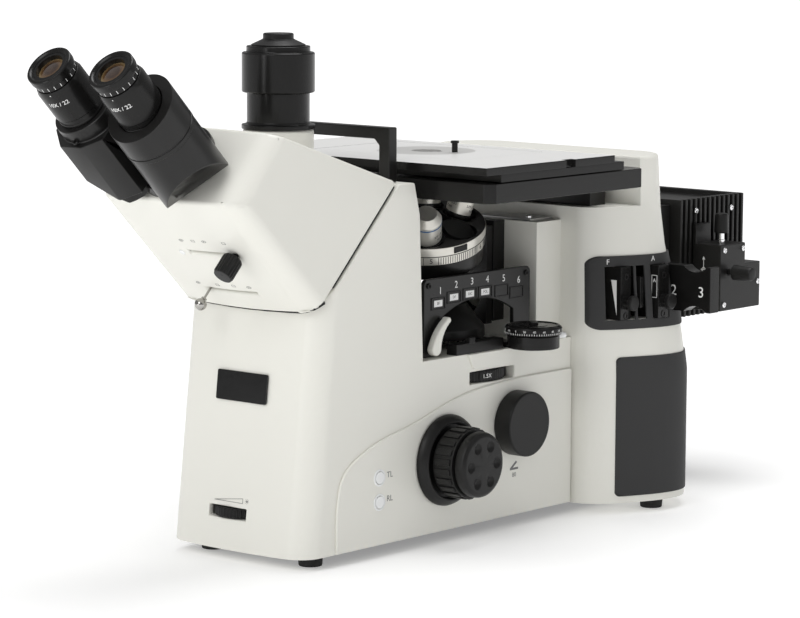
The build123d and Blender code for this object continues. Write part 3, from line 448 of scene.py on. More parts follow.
class Shade:
    """A value in a shader; arithmetic on it adds Math nodes."""

    def __init__(self, owner, socket):
        self.owner = owner
        self.socket = socket

    def __radd__(self, other):
        return self.owner.node("Math", {"operation": "ADD"}, {0: other, 1: self})

    def __mul__(self, other):
        return self.owner.node("Math", {"operation": "MULTIPLY"}, {0: self, 1: other})

    __rmul__ = __mul__


class Finish:
    """One material under construction."""

    def __init__(self, name):
        self.material = bpy.data.materials.new(name)
        self.material.use_nodes = True
        self.tree = self.material.node_tree
        self.shader = self.tree.nodes["Principled BSDF"]

    def feed(self, socket, value):
        if isinstance(value, Shade):
            self.tree.links.new(value.socket, socket)
        else:
            socket.default_value = value

    def node(self, kind, settings=None, inputs=None, out=0):
        """Adds a node: its settings first, then the values or links of its sockets."""
        node = self.tree.nodes.new("ShaderNode" + kind)
        for key, value in (settings or {}).items():
            if key == "stops":
                ramp = node.color_ramp.elements
                for i, (where, colour) in enumerate(value):
                    stop = ramp[i] if i < len(ramp) else ramp.new(where)
                    stop.position = where
                    stop.color = colour
            else:
                setattr(node, key, value)
        for key, value in (inputs or {}).items():
            self.feed(node.inputs[key], value)
        return Shade(self, node.outputs[out])

    def set(self, **values):
        for key, value in values.items():
            self.feed(self.shader.inputs[key.replace("_", " ")], value)

    def place(self, scale=(1, 1, 1), centre=(0, 0, 0)):
        where = self.node("TexCoord", out=3)
        moved = self.node("VectorMath", {"operation": "SUBTRACT"}, {0: where, 1: centre})
        return self.node("Mapping", None, {"Vector": moved, "Scale": scale})

    def noise(self, scale, detail=3.0, where=None):
        return self.node("TexNoise", None, {"Vector": where or self.place(), "Scale": scale, "Detail": detail,
                                            "Roughness": 0.55})

    def blend(self, factor, a, b):
        return self.node("Mix", {"data_type": "RGBA"}, {0: factor, 6: a, 7: b}, out=2)

    def bump(self, height, strength):
        self.set(Normal=self.node("Bump", None, {"Height": height, "Strength": strength, "Distance": 0.2 * MM}))


def tone(colour, factor):
    return tuple(min(1.0, c * factor) for c in colour[:3]) + (1.0,)


def painted(name, colour, rough, grain, bump, spread=0.06, sheen=0.5):
    """Sprayed or moulded surface with a fine grain and slight unevenness."""
    f = Finish(name)
    cloud = f.noise(9.0, 2.0)
    fine = f.noise(grain, 3.0)
    f.set(Base_Color=f.blend(cloud, tone(colour, 1 - spread), tone(colour, 1 + spread)))
    f.set(Roughness=rough - 0.06 + 0.12 * fine)
    f.shader.inputs["Specular IOR Level"].default_value = sheen
    f.bump(fine, bump)
    return f.material


def brushed(name, colour, rough, stretch=(1, 1, 1), metallic=1.0):
    """Metal with fine drawn or turned lines."""
    f = Finish(name)
    lines = f.noise(120.0, 2.0, f.place(scale=stretch))
    cloud = f.noise(14.0, 2.0)
    f.set(Base_Color=f.blend(cloud, tone(colour, 0.92), tone(colour, 1.06)))
    f.set(Roughness=rough - 0.03 + 0.06 * lines, Metallic=metallic)
    f.bump(lines, 0.008)
    return f.material


def lens_glass(name, centre):
    """Coated eye lens: dark brown, with a painted golden reflection ring near the rim and a painted rosy reflection
    patch.
    """
    f = Finish(name)
    where = f.place(centre=tuple(centre))
    distance = f.node("VectorMath", {"operation": "LENGTH"}, {0: where}, out=1)
    # Painted reflection: dark towards the centre, with a golden ring near the rim.
    painted_reflection_rings = f.node("ValToRGB", {"stops": [(0.0, (0.035, 0.022, 0.014, 1)), (0.45, (0.02, 0.012, 0.008, 1)),
                                          (0.72, (0.16, 0.09, 0.035, 1)), (0.9, (0.42, 0.30, 0.14, 1)),
                                          (1.0, (0.05, 0.04, 0.03, 1))]}, {"Fac": distance * (1 / (12 * MM))})
    rosy_reflection_patch = f.noise(90.0, 1.0, where)
    f.set(Base_Color=f.blend(rosy_reflection_patch * 0.25, painted_reflection_rings, (0.16, 0.07, 0.04, 1)))
    f.set(Roughness=0.04 + 0.03 * rosy_reflection_patch, Metallic=0.25)
    f.shader.inputs["Coat Weight"].default_value = 1.0
    f.shader.inputs["Coat Roughness"].default_value = 0.02
    return f.material


def painted_glow_floor(name, centre):
    """Pale floor with a painted glow that brightens it to plain white away from the object."""
    f = Finish(name)
    reach = f.node("VectorMath", {"operation": "LENGTH"}, {0: f.place(centre=tuple(centre))}, out=1)
    stops = [(at, (grey, grey, grey, 1)) for at, grey in ((0.0, 0.24), (0.14, 0.38), (0.5, 0.75), (1.0, 0.9))]
    # Painted light: the floor's own emitted glow, dim beside the object and rising with distance.
    glow = f.node("ValToRGB", {"stops": stops}, {"Fac": reach * 0.2})
    fine = f.noise(40.0)
    pale, paler = (0.855, 0.855, 0.855, 1), (0.865, 0.865, 0.865, 1)
    f.set(Base_Color=f.blend(fine, pale, paler), Roughness=0.6 + 0.1 * fine)
    f.set(Emission_Color=glow)
    f.shader.inputs["Emission Strength"].default_value = 1.0
    return f.material


LOOKS = {}
LOOK_SLOT = {
    "white": "white_paint", "black": "black_paint", "plastic": "black_plastic", "anodised": "black_alloy",
    "foot": "black_rubber", "chrome": "chrome", "ball": "chrome", "steel": "bare_metal", "ink": "white_plastic",
    "button": "white_plastic", "grey_ink": "black_plastic", "dark_ink": "black_plastic", "blue": "black_plastic",
}


def make_looks(colours):
    LOOKS.update(
        white=painted("white_enamel", colours.enamel, 0.40, 900.0, 0.05, spread=0.012),
        black=painted("black_enamel", colours.black, 0.30, 1100.0, 0.08, sheen=0.34),
        crackle=painted("black_crackle", colours.black, 0.40, 520.0, 0.28, sheen=0.34),
        plastic=painted("black_plastic", colours.plastic, 0.40, 1400.0, 0.10, sheen=0.26),
        anodised=painted("black_anodised", colours.anodised, 0.24, 2200.0, 0.05, sheen=0.24),
        rubber=painted("grey_grip_rubber", colours.grip, 0.62, 1500.0, 0.25, sheen=0.3),
        foot=painted("black_rubber", colours.plastic, 0.75, 900.0, 0.3),
        chrome=brushed("polished_chrome", (0.85, 0.85, 0.86), 0.12),
        steel=brushed("satin_steel", (0.62, 0.62, 0.62), 0.34, (1, 12, 1)),
        cream=brushed("satin_cream_alloy", colours.objective, 0.30, (1, 1, 30), metallic=0.55),
        pale=painted("stage_pale_anodised", colours.stage, 0.34, 2000.0, 0.05, spread=0.015),
        ink=painted("white_print", (0.85, 0.85, 0.84), 0.5, 2000.0, 0.02),
        grey_ink=painted("grey_print", (0.16, 0.16, 0.16), 0.5, 2000.0, 0.02),
        dark_ink=painted("dark_print", (0.03, 0.03, 0.03), 0.5, 2000.0, 0.02),
        blue=painted("blue_band", (0.02, 0.11, 0.28), 0.4, 2000.0, 0.02),
        button=painted("milky_button", (0.86, 0.87, 0.87), 0.25, 300.0, 0.02, spread=0.01),
        board=painted("green_board", (0.02, 0.12, 0.05), 0.45, 700.0, 0.1),
        glass=painted("inner_glass", (0.55, 0.6, 0.6), 0.08, 200.0, 0.01),
        gloss=painted("gloss_black_plate", (0.004, 0.004, 0.004), 0.14, 300.0, 0.01, sheen=0.4),
        disc=brushed("turned_disc", (0.66, 0.655, 0.64), 0.38, metallic=0.4),
        ball=brushed("dark_chrome", (0.42, 0.41, 0.39), 0.14),
    )


def colour_property(name, description, default):
    return bpy.props.FloatVectorProperty(name=name, description=description, subtype="COLOR", default=default,
                                         min=0, max=1)


class MICROSCOPE_PG_colours(bpy.types.PropertyGroup):
    """Colours of the finishes"""
    enamel: colour_property("Enamel", "White paint of the castings", (0.80, 0.793, 0.735))
    black: colour_property("Black enamel", "Black painted metal", (0.010, 0.0097, 0.0094))
    plastic: colour_property("Black plastic", "Moulded knobs", (0.009, 0.0088, 0.0086))
    anodised: colour_property("Black anodised", "Turned black metal", (0.0085, 0.0083, 0.0081))
    grip: colour_property("Grip", "Grey panels of the tower", (0.036, 0.036, 0.0365))
    stage: colour_property("Stage", "Pale top of the stage", (0.80, 0.797, 0.785))
    objective: colour_property("Objective", "Satin metal of the objectives", (0.74, 0.72, 0.66))


class MICROSCOPE_PG_sizes(bpy.types.PropertyGroup):
    """Sizes that a user would change, in metres where they are lengths"""
    casting_edge: bpy.props.FloatProperty(name="Casting edge", description="Rounding of the white castings",
                                          default=2.2 * MM, min=0, unit="LENGTH")
    plate_edge: bpy.props.FloatProperty(name="Plate edge", description="Rounding of machined plates",
                                        default=0.6 * MM, min=0, unit="LENGTH")
    coarse_ribs: bpy.props.IntProperty(name="Coarse ribs", description="Ribs round the coarse knob",
                                       default=22, min=8)
    lens_distance: bpy.props.FloatProperty(name="Camera distance", description="From the camera to the object",
                                           default=2.9, min=0.1, unit="LENGTH")


class Piece:
    """What the piece operators share"""
    bl_options = {"REGISTER", "UNDO"}

    def execute(self, context):
        self.make(context.scene.microscope_sizes)
        return {"FINISHED"}


class MICROSCOPE_OT_castings(Piece, bpy.types.Operator):
    """Stand, tower, head and side panels in white enamel"""
    bl_idname = "microscope.castings"
    bl_label = "Castings"

    arch = ((-199.4, 14), (-198, 50), (-191.5, 71), (-171, 85.5), (-97.5, 105.5), (-44, 119.5), (21, 125.5),
            (102, 126.4))

    def make(self, sizes):
        edge = sizes.casting_edge / MM
        dress("main_stand", "white", edge * 0.6)
        tower = softened("rear_tower", 0)
        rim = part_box("rear_tower")[1].z - 0.2 * MM
        pick(tower, "VERT", lambda v: v.co.z > rim)
        bpy.ops.mesh.bevel(offset=edge * MM, segments=3, affect="EDGES")
        close_mesh()
        finish(round_edges(tower, 0.35), "rear_tower_shell", "stand", "white", "rear_tower")
        dress("head_housing", "white", edge * 1.3, 3)
        repaint("side_panels", "white")
        beads = []
        for side in (1, -1):
            deselect()
            bpy.ops.curve.primitive_bezier_curve_add()
            line = bpy.context.object.data
            line.bevel_depth = 1.3 * MM
            line.bevel_resolution = 3
            line.resolution_u = 10
            run = line.splines[0].bezier_points
            run.add(len(self.arch) - 2)
            for point, (y, z) in zip(run, self.arch):
                point.co = spot(side * 75.9, y, z)
                point.handle_left_type = point.handle_right_type = "AUTO"
            bpy.ops.object.convert(target="MESH")
            beads.append(round_edges(bpy.context.object, 0))
        finish(beads, "side_panel_beads", "stand", "white")
        dress("base_plate", "black", 0.5)
        dress("rubber_feet", "foot", 0.8)
        dress("tower_trims", "rubber", 0.45)
        dress("guard_frame", "black", 1.0)
        dress("inner_brackets", "black", 0.6)
        # Painted shade: black strips in the groove under the head and along its front lip stand in for the shadow of
        # the parting seam.
        along = (0, PART_TOP[0] - PART_FOOT[0], PART_TOP[1] - PART_FOOT[1])
        strips = []
        for side in (1, -1):
            groove = seat((0, PART_TOP[0], PART_TOP[1]), along, (0, -along[2], along[1]))
            strips.append(place(block(105, 2.1, 7, 0.3, 1, (-54.5, 1.25, -side * 69)), groove))
        lip = [(x, 15.8 - bow(x) - CORNER_R + math.sqrt(CORNER_R ** 2 - max(0, abs(x) - CORNER_X) ** 2))
               for x in (-71, -68, -64, -59, -53, -40, -20, 0, 20, 40, 53, 59, 64, 68, 71)]
        front = slab(lip + [(66, -6), (-66, -6)], 2.1, 0.2, 1)
        strips.append(place(front, seat((0, -207.5, 212.4), (-1, 0, 0), (0, -along[1], -along[2]))))
        finish(strips, "head_seam_painted_shade", "stand", "foot")


class MICROSCOPE_OT_tubes(Piece, bpy.types.Operator):
    """Swinging tube housings, eyepieces and diopter rings"""
    bl_idname = "microscope.tubes"
    bl_label = "Binocular tubes"

    barrel = [(11.5, 82), (19.75, 82), (19.75, 84), (19.3, 84.6), (19.3, 89), (19.75, 89.6), (19.75, 115),
              (18.2, 119.6), (14, 120), (14, 130.6), (11.5, 130.6), (11.5, 82)]
    ring = [(14.05, 120.3), (17.6, 120.3), (17.6, 124.4), (18.6, 125.0), (18.9, 126.5), (18.9, 131.2),
            (18.2, 132), (16.4, 132), (15.2, 131), (14.05, 130.9), (14.05, 120.3)]
    dome = [(0, 128.6), (4, 128.4), (8, 127.8), (11.4, 126.6), (11.45, 125.4), (0, 125.4)]
    slant = (0.637, -0.443, -0.629)
    collar = [(20.4, 62), (29.2, 62), (29.5, 62.3), (29.5, 98), (20.4, 98), (20.4, 62)]
    band = [(27, 57.6), (29.2, 57.6), (29.5, 57.9), (29.5, 60.9), (29.2, 61.2), (27, 61.2), (27, 57.6)]

    def make(self, sizes):
        dress("binocular_base", "black", 1.0)
        tube = seat(TUBE_PIVOT, (1, 0, 0), TUBE_UP)
        for side, tag, radius, top in ((1, "right", 29.1, 58), (-1, "left", 27.2, 60)):
            foot_piece = place(turned([(0, 2), (radius, 2), (radius, top), (0, top)], 96),
                               tube @ shift(side * EYE_HALF, -TUBE_DROP, 0))
            shells = (softened("tube_housing_" + tag, 0), foot_piece)
            flats = [(side * self.slant[0], self.slant[1], self.slant[2], 4.5, 2)]
            if side < 0:
                flats += [(-0.7071, 0.7071, 0, 29, 0), (-0.7071, -0.7071, 0, 29, 0), (0.5, -0.866, 0, 29, 0)]
            for across, rise, drop, off, foot in flats:
                flat = (tube.to_3x3() @ Vector((across, rise, drop))).normalized()
                level = math.hypot(across, rise)
                edge_point = tube @ Vector(mm(side * EYE_HALF + off * across / level,
                                              -TUBE_DROP + off * rise / level, foot))
                for shell in shells:
                    trimmed(shell, edge_point, flat)
            shell = round_edges(joined(*shells), 0.8, 2)
            finish(shell, "tube_shell_" + tag, "tube_" + tag, "black", "tube_housing_" + tag)
        for side, tag in ((1, "right"), (-1, "left")):
            axis = tube @ shift(side * EYE_HALF, -TUBE_DROP, 0)
            body = "tube_" + tag
            obj = place(turned(self.barrel, 72, 0.25), axis)
            finish(obj, "eyepiece_barrel_" + tag, body, "anodised", "eyepiece_" + tag)
            obj = place(turned(self.ring, 72, 0.25), axis)
            finish(obj, "diopter_grip_" + tag, "diopter_" + tag, "anodised", "diopter_ring_" + tag)
            ticks = around(block(0.45, 0.3, 3.0, 0.05, 1, (0, -17.6, 122.5)), 20)
            finish(place(ticks, axis), "diopter_scale_" + tag, "diopter_" + tag, "ink")
            dot = block(0.9, 0.3, 0.9, 0.1, 2, (5, -18.4, 117.6))
            finish(place(dot, axis), "eyepiece_mark_" + tag, body, "ink")
            figures = place(round_print("10X / 22", 5.2, 19.8, 20, 108), axis)
            finish(figures, "eyepiece_figures_" + tag, body, "ink")
            glass = place(turned(self.dome, 48), axis)
            name = "eye_lens_" + tag
            LOOKS[name] = lens_glass(name, axis @ Vector(mm(0, 0, 128)))
            finish(glass, name, body, name, "eyepiece_lens_" + tag, slot="glass")
        lid_screw = place(screw(2.6, 1.6), tube @ shift(-EYE_HALF + 4, -TUBE_DROP - 24.5, 72))
        finish(lid_screw, "left_tube_screw", "tube_left", "anodised")
        axis = tube @ shift(EYE_HALF, -TUBE_DROP, 0)
        sleeve = turned(self.collar, 96)
        trimmed(sleeve, mm(0, 0, 88.4), (0, -0.2, 1))
        round_edges(sleeve, 0.4)
        obj = place(joined(sleeve, turned(self.band, 96, 0.15)), axis)
        finish(obj, "right_tube_collar", "tube_right", "black")


class MICROSCOPE_OT_camera_port(Piece, bpy.types.Operator):
    """Camera port above the head, with its cap"""
    bl_idname = "microscope.camera_port"
    bl_label = "Camera port"

    def make(self, sizes):
        tube = [(18, 345), (29.5, 345), (29.5, 348.4), (26, 349.2), (25.2, 350.4), (25.2, 373.4), (28.4, 374),
                (29.3, 374.8), (29.3, 405), (28.4, 406), (26, 406.2), (25.6, 407),
                (25.6, 410.4), (25, 411), (18, 411), (18, 345)]
        cap = [(0, 397), (17.4, 397), (17.4, 411.1), (21.6, 411.1), (21.8, 412), (13.2, 416), (12.3, 416.6),
               (12.3, 420.2), (11.5, 421), (0, 421)]
        axis = upright(0, CAMERA_AXIS_Y, 0)
        finish(place(turned(tube, 96, 0.3), axis), "camera_tube_body", "stand", "anodised",
               "camera_tube")
        finish(place(turned(cap, 72, 0.3), axis), "camera_cap_body", "camera_cap", "plastic",
               "camera_port_cap")


class MICROSCOPE_OT_front_controls(Piece, bpy.types.Operator):
    """Selector knob, ball lever, name plate and dimmer"""
    bl_idname = "microscope.front_controls"
    bl_label = "Front controls"

    def make(self, sizes):
        def control(u, v):
            return seat((u, FACE_FOOT[1] + FACE_UP[1] * v, FACE_FOOT[2] + FACE_UP[2] * v), (1, 0, 0), FACE_UP)
        knob = turned([(0, 2), (7.4, 2), (8.2, 3), (8.4, 4.5), (8.4, 17.6), (7.6, 19.6), (6.6, 20), (0, 19.4)], 72)
        ribs(knob, 72, 3.5, 19, 7.5, 0.7)
        knob = joined(knob, block(6, 1.8, 14, 0.2, 1, (0, 0, -4)), block(1.2, 7, 0.4, 0.1, 1, (0, 4, 19.6)))
        finish(place(knob, control(36, 68)), "selector_grip", "selector", "plastic", "selector_knob")
        ball = [(0, -10), (1, -10), (1, 8.4), (2.4, 9), (2.4, 10.2)]
        ball += [(5 * math.sin(a), 15 - 5 * math.cos(a)) for a in (0.6, 0.9, 1.2, 1.5, 1.8, 2.1, 2.4, 2.7, 2.95)]
        ball.append((0, 20))
        finish(place(turned(ball, 40), control(-24, 19)), "ball_lever_body", "ball", "ball", "ball_lever")
        dark = []
        for u0, u1, v in ((-12, 40, 68), (-27, 27, 19)):
            dark.append(place(block(u1 - u0, 2.2, 6, 0.1, 1, ((u0 + u1) / 2, 0, -9)), control(0, v)))
        finish(dark, "head_slot_liners", "stand", "plastic")
        plug = place(turned([(0, -1), (2.7, -1), (2.7, 0.3), (2.2, 0.7), (0, 0.8)], 32), head_face(-21, 67))
        finish(plug, "head_plug", "stand", "button")
        marks = []
        for u, v in ((-11, 83), (14, 84), (-32, 27), (24, 28)):
            eye = turned(hoop(1.1, 1.4, 0, PRINT), 20)
            eye.scale = (1.7, 1, 1)
            pupil = turned([(0, 0), (0.5, 0), (0.5, PRINT), (0, PRINT)], 12)
            marks.append(place(joined(eye, pupil), head_face(u, v, LIFT)))
        for u, v in ((2, 83.5), (34, 84), (-10, 27), (8, 28)):
            box_mark = joined(line(3.6, 0.3, 0, 1.1), line(3.6, 0.3, 0, -1.1), line(0.3, 2.5, -1.7, 0),
                              line(0.3, 2.5, 1.7, 0))
            marks.append(place(box_mark, head_face(u, v, LIFT)))
        finish(marks, "head_light_path_signs", "stand", "grey_ink")
        dress("name_plate", "gloss", 0.4)
        wheel = turned([(0, -4), (23, -4), (24, -3.2), (24, 3.2), (23, 4), (0, 4)], 192)
        ribs(wheel, 192, -3.9, 3.9, 23.4, 0.9)
        finish(place(wheel, upright(*DIMMER_HUB)), "dimmer_grip", "dimmer", "plastic",
               "dimmer_wheel")
        slope = math.atan2(3.8, 30.5)
        sides = [line(30.5, 0.35, -5.75, -1.6), line(0.35, 3.8, 9.5, 0.3),
                 place(line(30.7, 0.35, 0, 0), shift(-5.75, 0.3, 0) @ Matrix.Rotation(slope, 4, "Z"))]
        wedge = place(joined(*sides), base_face(0, 50.6, LIFT))
        sun = turned([(0, 0), (0.8, 0), (0.8, PRINT), (0, PRINT)], 16)
        rays = around(line(0.9, 0.25, 1.6, 0), 8)
        sun = place(joined(sun, rays), base_face(14, 51, LIFT))
        finish(joined(wedge, sun), "dimmer_sign", "stand", "grey_ink")


class MICROSCOPE_OT_stage_plates(Piece, bpy.types.Operator):
    """Stage plates and inserts"""
    bl_idname = "microscope.stage_plates"
    bl_label = "Stage"

    def make(self, sizes):
        edge = sizes.plate_edge / MM
        dress("stage_base", "anodised", edge)
        dress("stage_carriage", "anodised", edge)
        paint_faces(dress("stage_top", "anodised", edge), "pale", lambda p: p.normal.z > 0.98)
        dress("stage_insert_frame", "pale", 0.25)
        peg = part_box("stage_top")[1].z + 0.6 * MM
        paint_faces(dress("stage_insert", "disc", 0.25), "plastic", lambda p: p.center.z > peg)


class MICROSCOPE_OT_nosepiece(Piece, bpy.types.Operator):
    """Tilted nosepiece with its objectives"""
    bl_idname = "microscope.nosepiece"
    bl_label = "Nosepiece"

    tilt, heading = math.radians(20), math.radians(-50)
    seat_z, circle = 268, 30

    def make(self, sizes):
        lean = Vector((math.sin(self.tilt) * math.cos(self.heading), math.sin(self.tilt) * math.sin(self.heading),
                       math.cos(self.tilt)))
        apex = Vector((0, 0, self.seat_z - self.circle / math.sin(self.tilt)))
        hub = apex + lean * (self.circle / math.tan(self.tilt))
        across = Vector((-lean.y, lean.x, 0)).normalized()
        axis = seat(hub, across, lean.cross(across))
        inward = axis.inverted()
        dress("nosepiece_carrier", "black", 0.5)

        def on_rim(face):
            where = (inward @ face.center) / MM
            return math.hypot(where.x, where.y) > TURRET_R - 0.8
        paint_faces(dress("nosepiece_turret", "black", 0.4), "cream", on_rim)
        gaps = [k for k in range(150) if k % 25 < 5]
        lines = around(block(0.5, 0.5, 6.2, 0.05, 1, (0, -TURRET_R, -11.4)), 150, skip=gaps)
        digits = [round_print(str((k + 4) % 6 + 1), 6.0, TURRET_R + 0.05, 5 + 60 * k, -11.4) for k in range(6)]
        marks = place(joined(lines, *digits), axis)
        finish(marks, "nosepiece_scale", "turret", "dark_ink")
        seam = turned(hoop(TURRET_R - 1, TURRET_R + 0.25, -7.8, -7.2), 120)
        notches = around(block(13, 2.4, 5.4, 0.4, 2, (0, -49.4, -3.4)), 6, start=35)
        finish(place(joined(seam, notches), axis), "nosepiece_stops", "turret", "plastic")
        dress("nosepiece_plugs", "plastic", 0.3)
        dress("objectives", "cream", 0.35)
        sleeves, blues, prints = [], [], []
        for k, length, radius, power in ((0, 32, 12.5, "10X / 0.25"), (1, 31, 12, "20X / 0.40"),
                                         (3, 30, 13, "5X / 0.12"), (5, 28, 11, "50X / 0.55")):
            turn = axis @ spun(60 * k) @ inward @ upright(0, 0, self.seat_z)
            sleeve = [(radius + out, h) for out, h in ((-1, 0.2), (1.4, 0.2), (1.6, 0.8), (1.6, 3.4), (0.6, 4.2),
                                                       (-1, 4.2), (-1, 0.2))]
            sleeves.append(place(turned(sleeve, 64, 0.15), turn))
            blues.append(place(turned(hoop(radius - 1, radius + 0.15, length - 9.4, length - 8.2), 64), turn))
            for text, size, height in ((power, 3.4, 12), ("PLAN", 2.6, 8)):
                for spin in (0, 120, 240):
                    prints.append(place(round_print(text, size, radius + LIFT, spin + 40, height), turn))
        finish(sleeves, "objective_collars", "turret", "anodised")
        finish(blues, "objective_bands", "turret", "blue")
        finish(prints, "objective_figures", "turret", "dark_ink")


class MICROSCOPE_OT_focus_knobs(Piece, bpy.types.Operator):
    """Coarse and fine focus knobs on both sides"""
    bl_idname = "microscope.focus_knobs"
    bl_label = "Focus knobs"

    flange = [(6.6, 77), (36.4, 77), (37.8, 78.2), (37.8, 80.4), (36.4, 83.4), (33.6, 86.2),
              (32.2, 86.8), (31.2, 86.2), (30.4, 82), (6.6, 82), (6.6, 77)]
    knob = [(3.0, 107.8), (24.6, 107.8), (26.2, 108.6), (27, 110.4), (27, 114.2), (26.2, 116.6), (24.2, 118.2),
            (22.8, 118.4), (0, 118.4), (0, 112), (3.0, 112), (3.0, 107.8)]
    dimples = 6

    def make(self, sizes):
        dress("coarse_drive", "plastic", 0.8)
        flanges, coarse, fine = [], [], []
        for side in (1, -1):
            outward = seat((0, FOCUS_Y, FOCUS_Z), (0, side, 0), (0, 0, 1))
            flanges.append(place(turned(self.flange, 96, 0.4, 3), outward))
            rib = block(5.2, 2.0, 15.5, 0.6, 2, (0, -28.7, 97.6))
            coarse.append(place(around(rib, sizes.coarse_ribs), outward))
            knob = turned(self.knob, 96, 0.3, 3)
            deselect()
            bpy.ops.mesh.primitive_uv_sphere_add(segments=32, ring_count=16, radius=6.4 * MM,
                                                 location=mm(0, -16.5, 122.6))
            dimples = around(bpy.context.object, self.dimples, start=30)
            fine.append(place(cut_away(knob, dimples), outward))
        shaft = turned([(0, -108.6), (3, -108.6), (3, 108.6), (0, 108.6)], 32)
        fine.append(place(shaft, seat((0, FOCUS_Y, FOCUS_Z), (0, 1, 0), (0, 0, 1))))
        finish(flanges, "focus_flanges", "stand", "plastic", "focus_rings")
        finish(coarse, "coarse_knob_ribs", "coarse", "plastic")
        finish(fine, "fine_knobs", "fine", "plastic", "fine_drive")


class MICROSCOPE_OT_side_controls(Piece, bpy.types.Operator):
    """Side port cap, lamp buttons and magnification wheel"""
    bl_idname = "microscope.side_controls"
    bl_label = "Side controls"

    def make(self, sizes):
        dress("side_port_cap", "plastic", 1.6, 3)
        dress("lamp_button_transmitted", "button", 0.5)
        dress("lamp_button_reflected", "button", 0.5)
        rim = [(5.4, 0), (7.0, 0), (7.0, 0.5), (6.5, 0.8), (5.8, 0.8), (5.4, 0.5), (5.4, 0)]
        rims = [place(turned(rim, 48, 0.1), sideways(PANEL_X, -149, z)) for z in (66, 46)]
        finish(rims, "lamp_button_rims", "stand", "button")
        wheel = turned([(6.05, -4.5), (41.2, -4.5), (42, -3.7), (42, 3.7), (41.2, 4.5), (6.05, 4.5),
                        (6.05, -4.5)], 320)
        ribs(wheel, 320, -4.2, 4.2, 41.0, 0.7)
        finish(place(wheel, upright(*MAGNIFIER_HUB)), "magnification_grip", "magnification", "plastic",
               "magnification_wheel")
        figures = []
        for angle, text in ((79, "1.5X"), (-41, "1X"), (199, "2X")):
            label = wrapped(block(15, 6.6, 0.5, 0.1, 1), MAGNIFIER_R)
            label.data.materials.append(LOOKS["plastic"])
            text = wrapped(words(text, 5.0), MAGNIFIER_R + 0.3)
            text.data.materials.append(LOOKS["ink"])
            figures.append(place(joined(label, text), spun(angle)))
        finish(place(joined(*figures), upright(*MAGNIFIER_HUB)), "magnification_figures", "magnification", None,
               slot="white_plastic")
        prints = []
        for text, y, z, size in (("TL", -136, 67, 6.8), ("RL", -136, 47.6, 6.8), ("80", 25.7, 45, 5.4)):
            prints.append(place(words(text, size), sideways(PANEL_X + 0.03, y, z)))
        arrow = slab([(-5, -1.6), (6, -1.6), (6, 0.2), (-1.2, 0.2), (4.6, 4.4), (3.2, 5.8), (-5, 0)], 0.12)
        prints.append(place(arrow, sideways(PANEL_X, 25, 51)))
        finish(prints, "side_panel_figures", "stand", "grey_ink")
        visor = slab([(-33, 0), (-26, -12), (-24, -13), (21, -13), (24, -11), (29, 0)], 2.6, 0.8)
        finish(place(visor, sideways(74.6, -3, 153.6)), "magnification_visor", "stand", "white")
        plate = block(62, 40, 2.2, 0.5, 2, (22, 95, 255))
        finish(place(plate, upright(0, 0, 0)), "arm_cover_plate", "stand", "steel")
        pan = place(screw(2.6, 2.0, False), upright(46, 82, 256.1))
        finish(pan, "arm_plate_screw", "stand", "chrome")


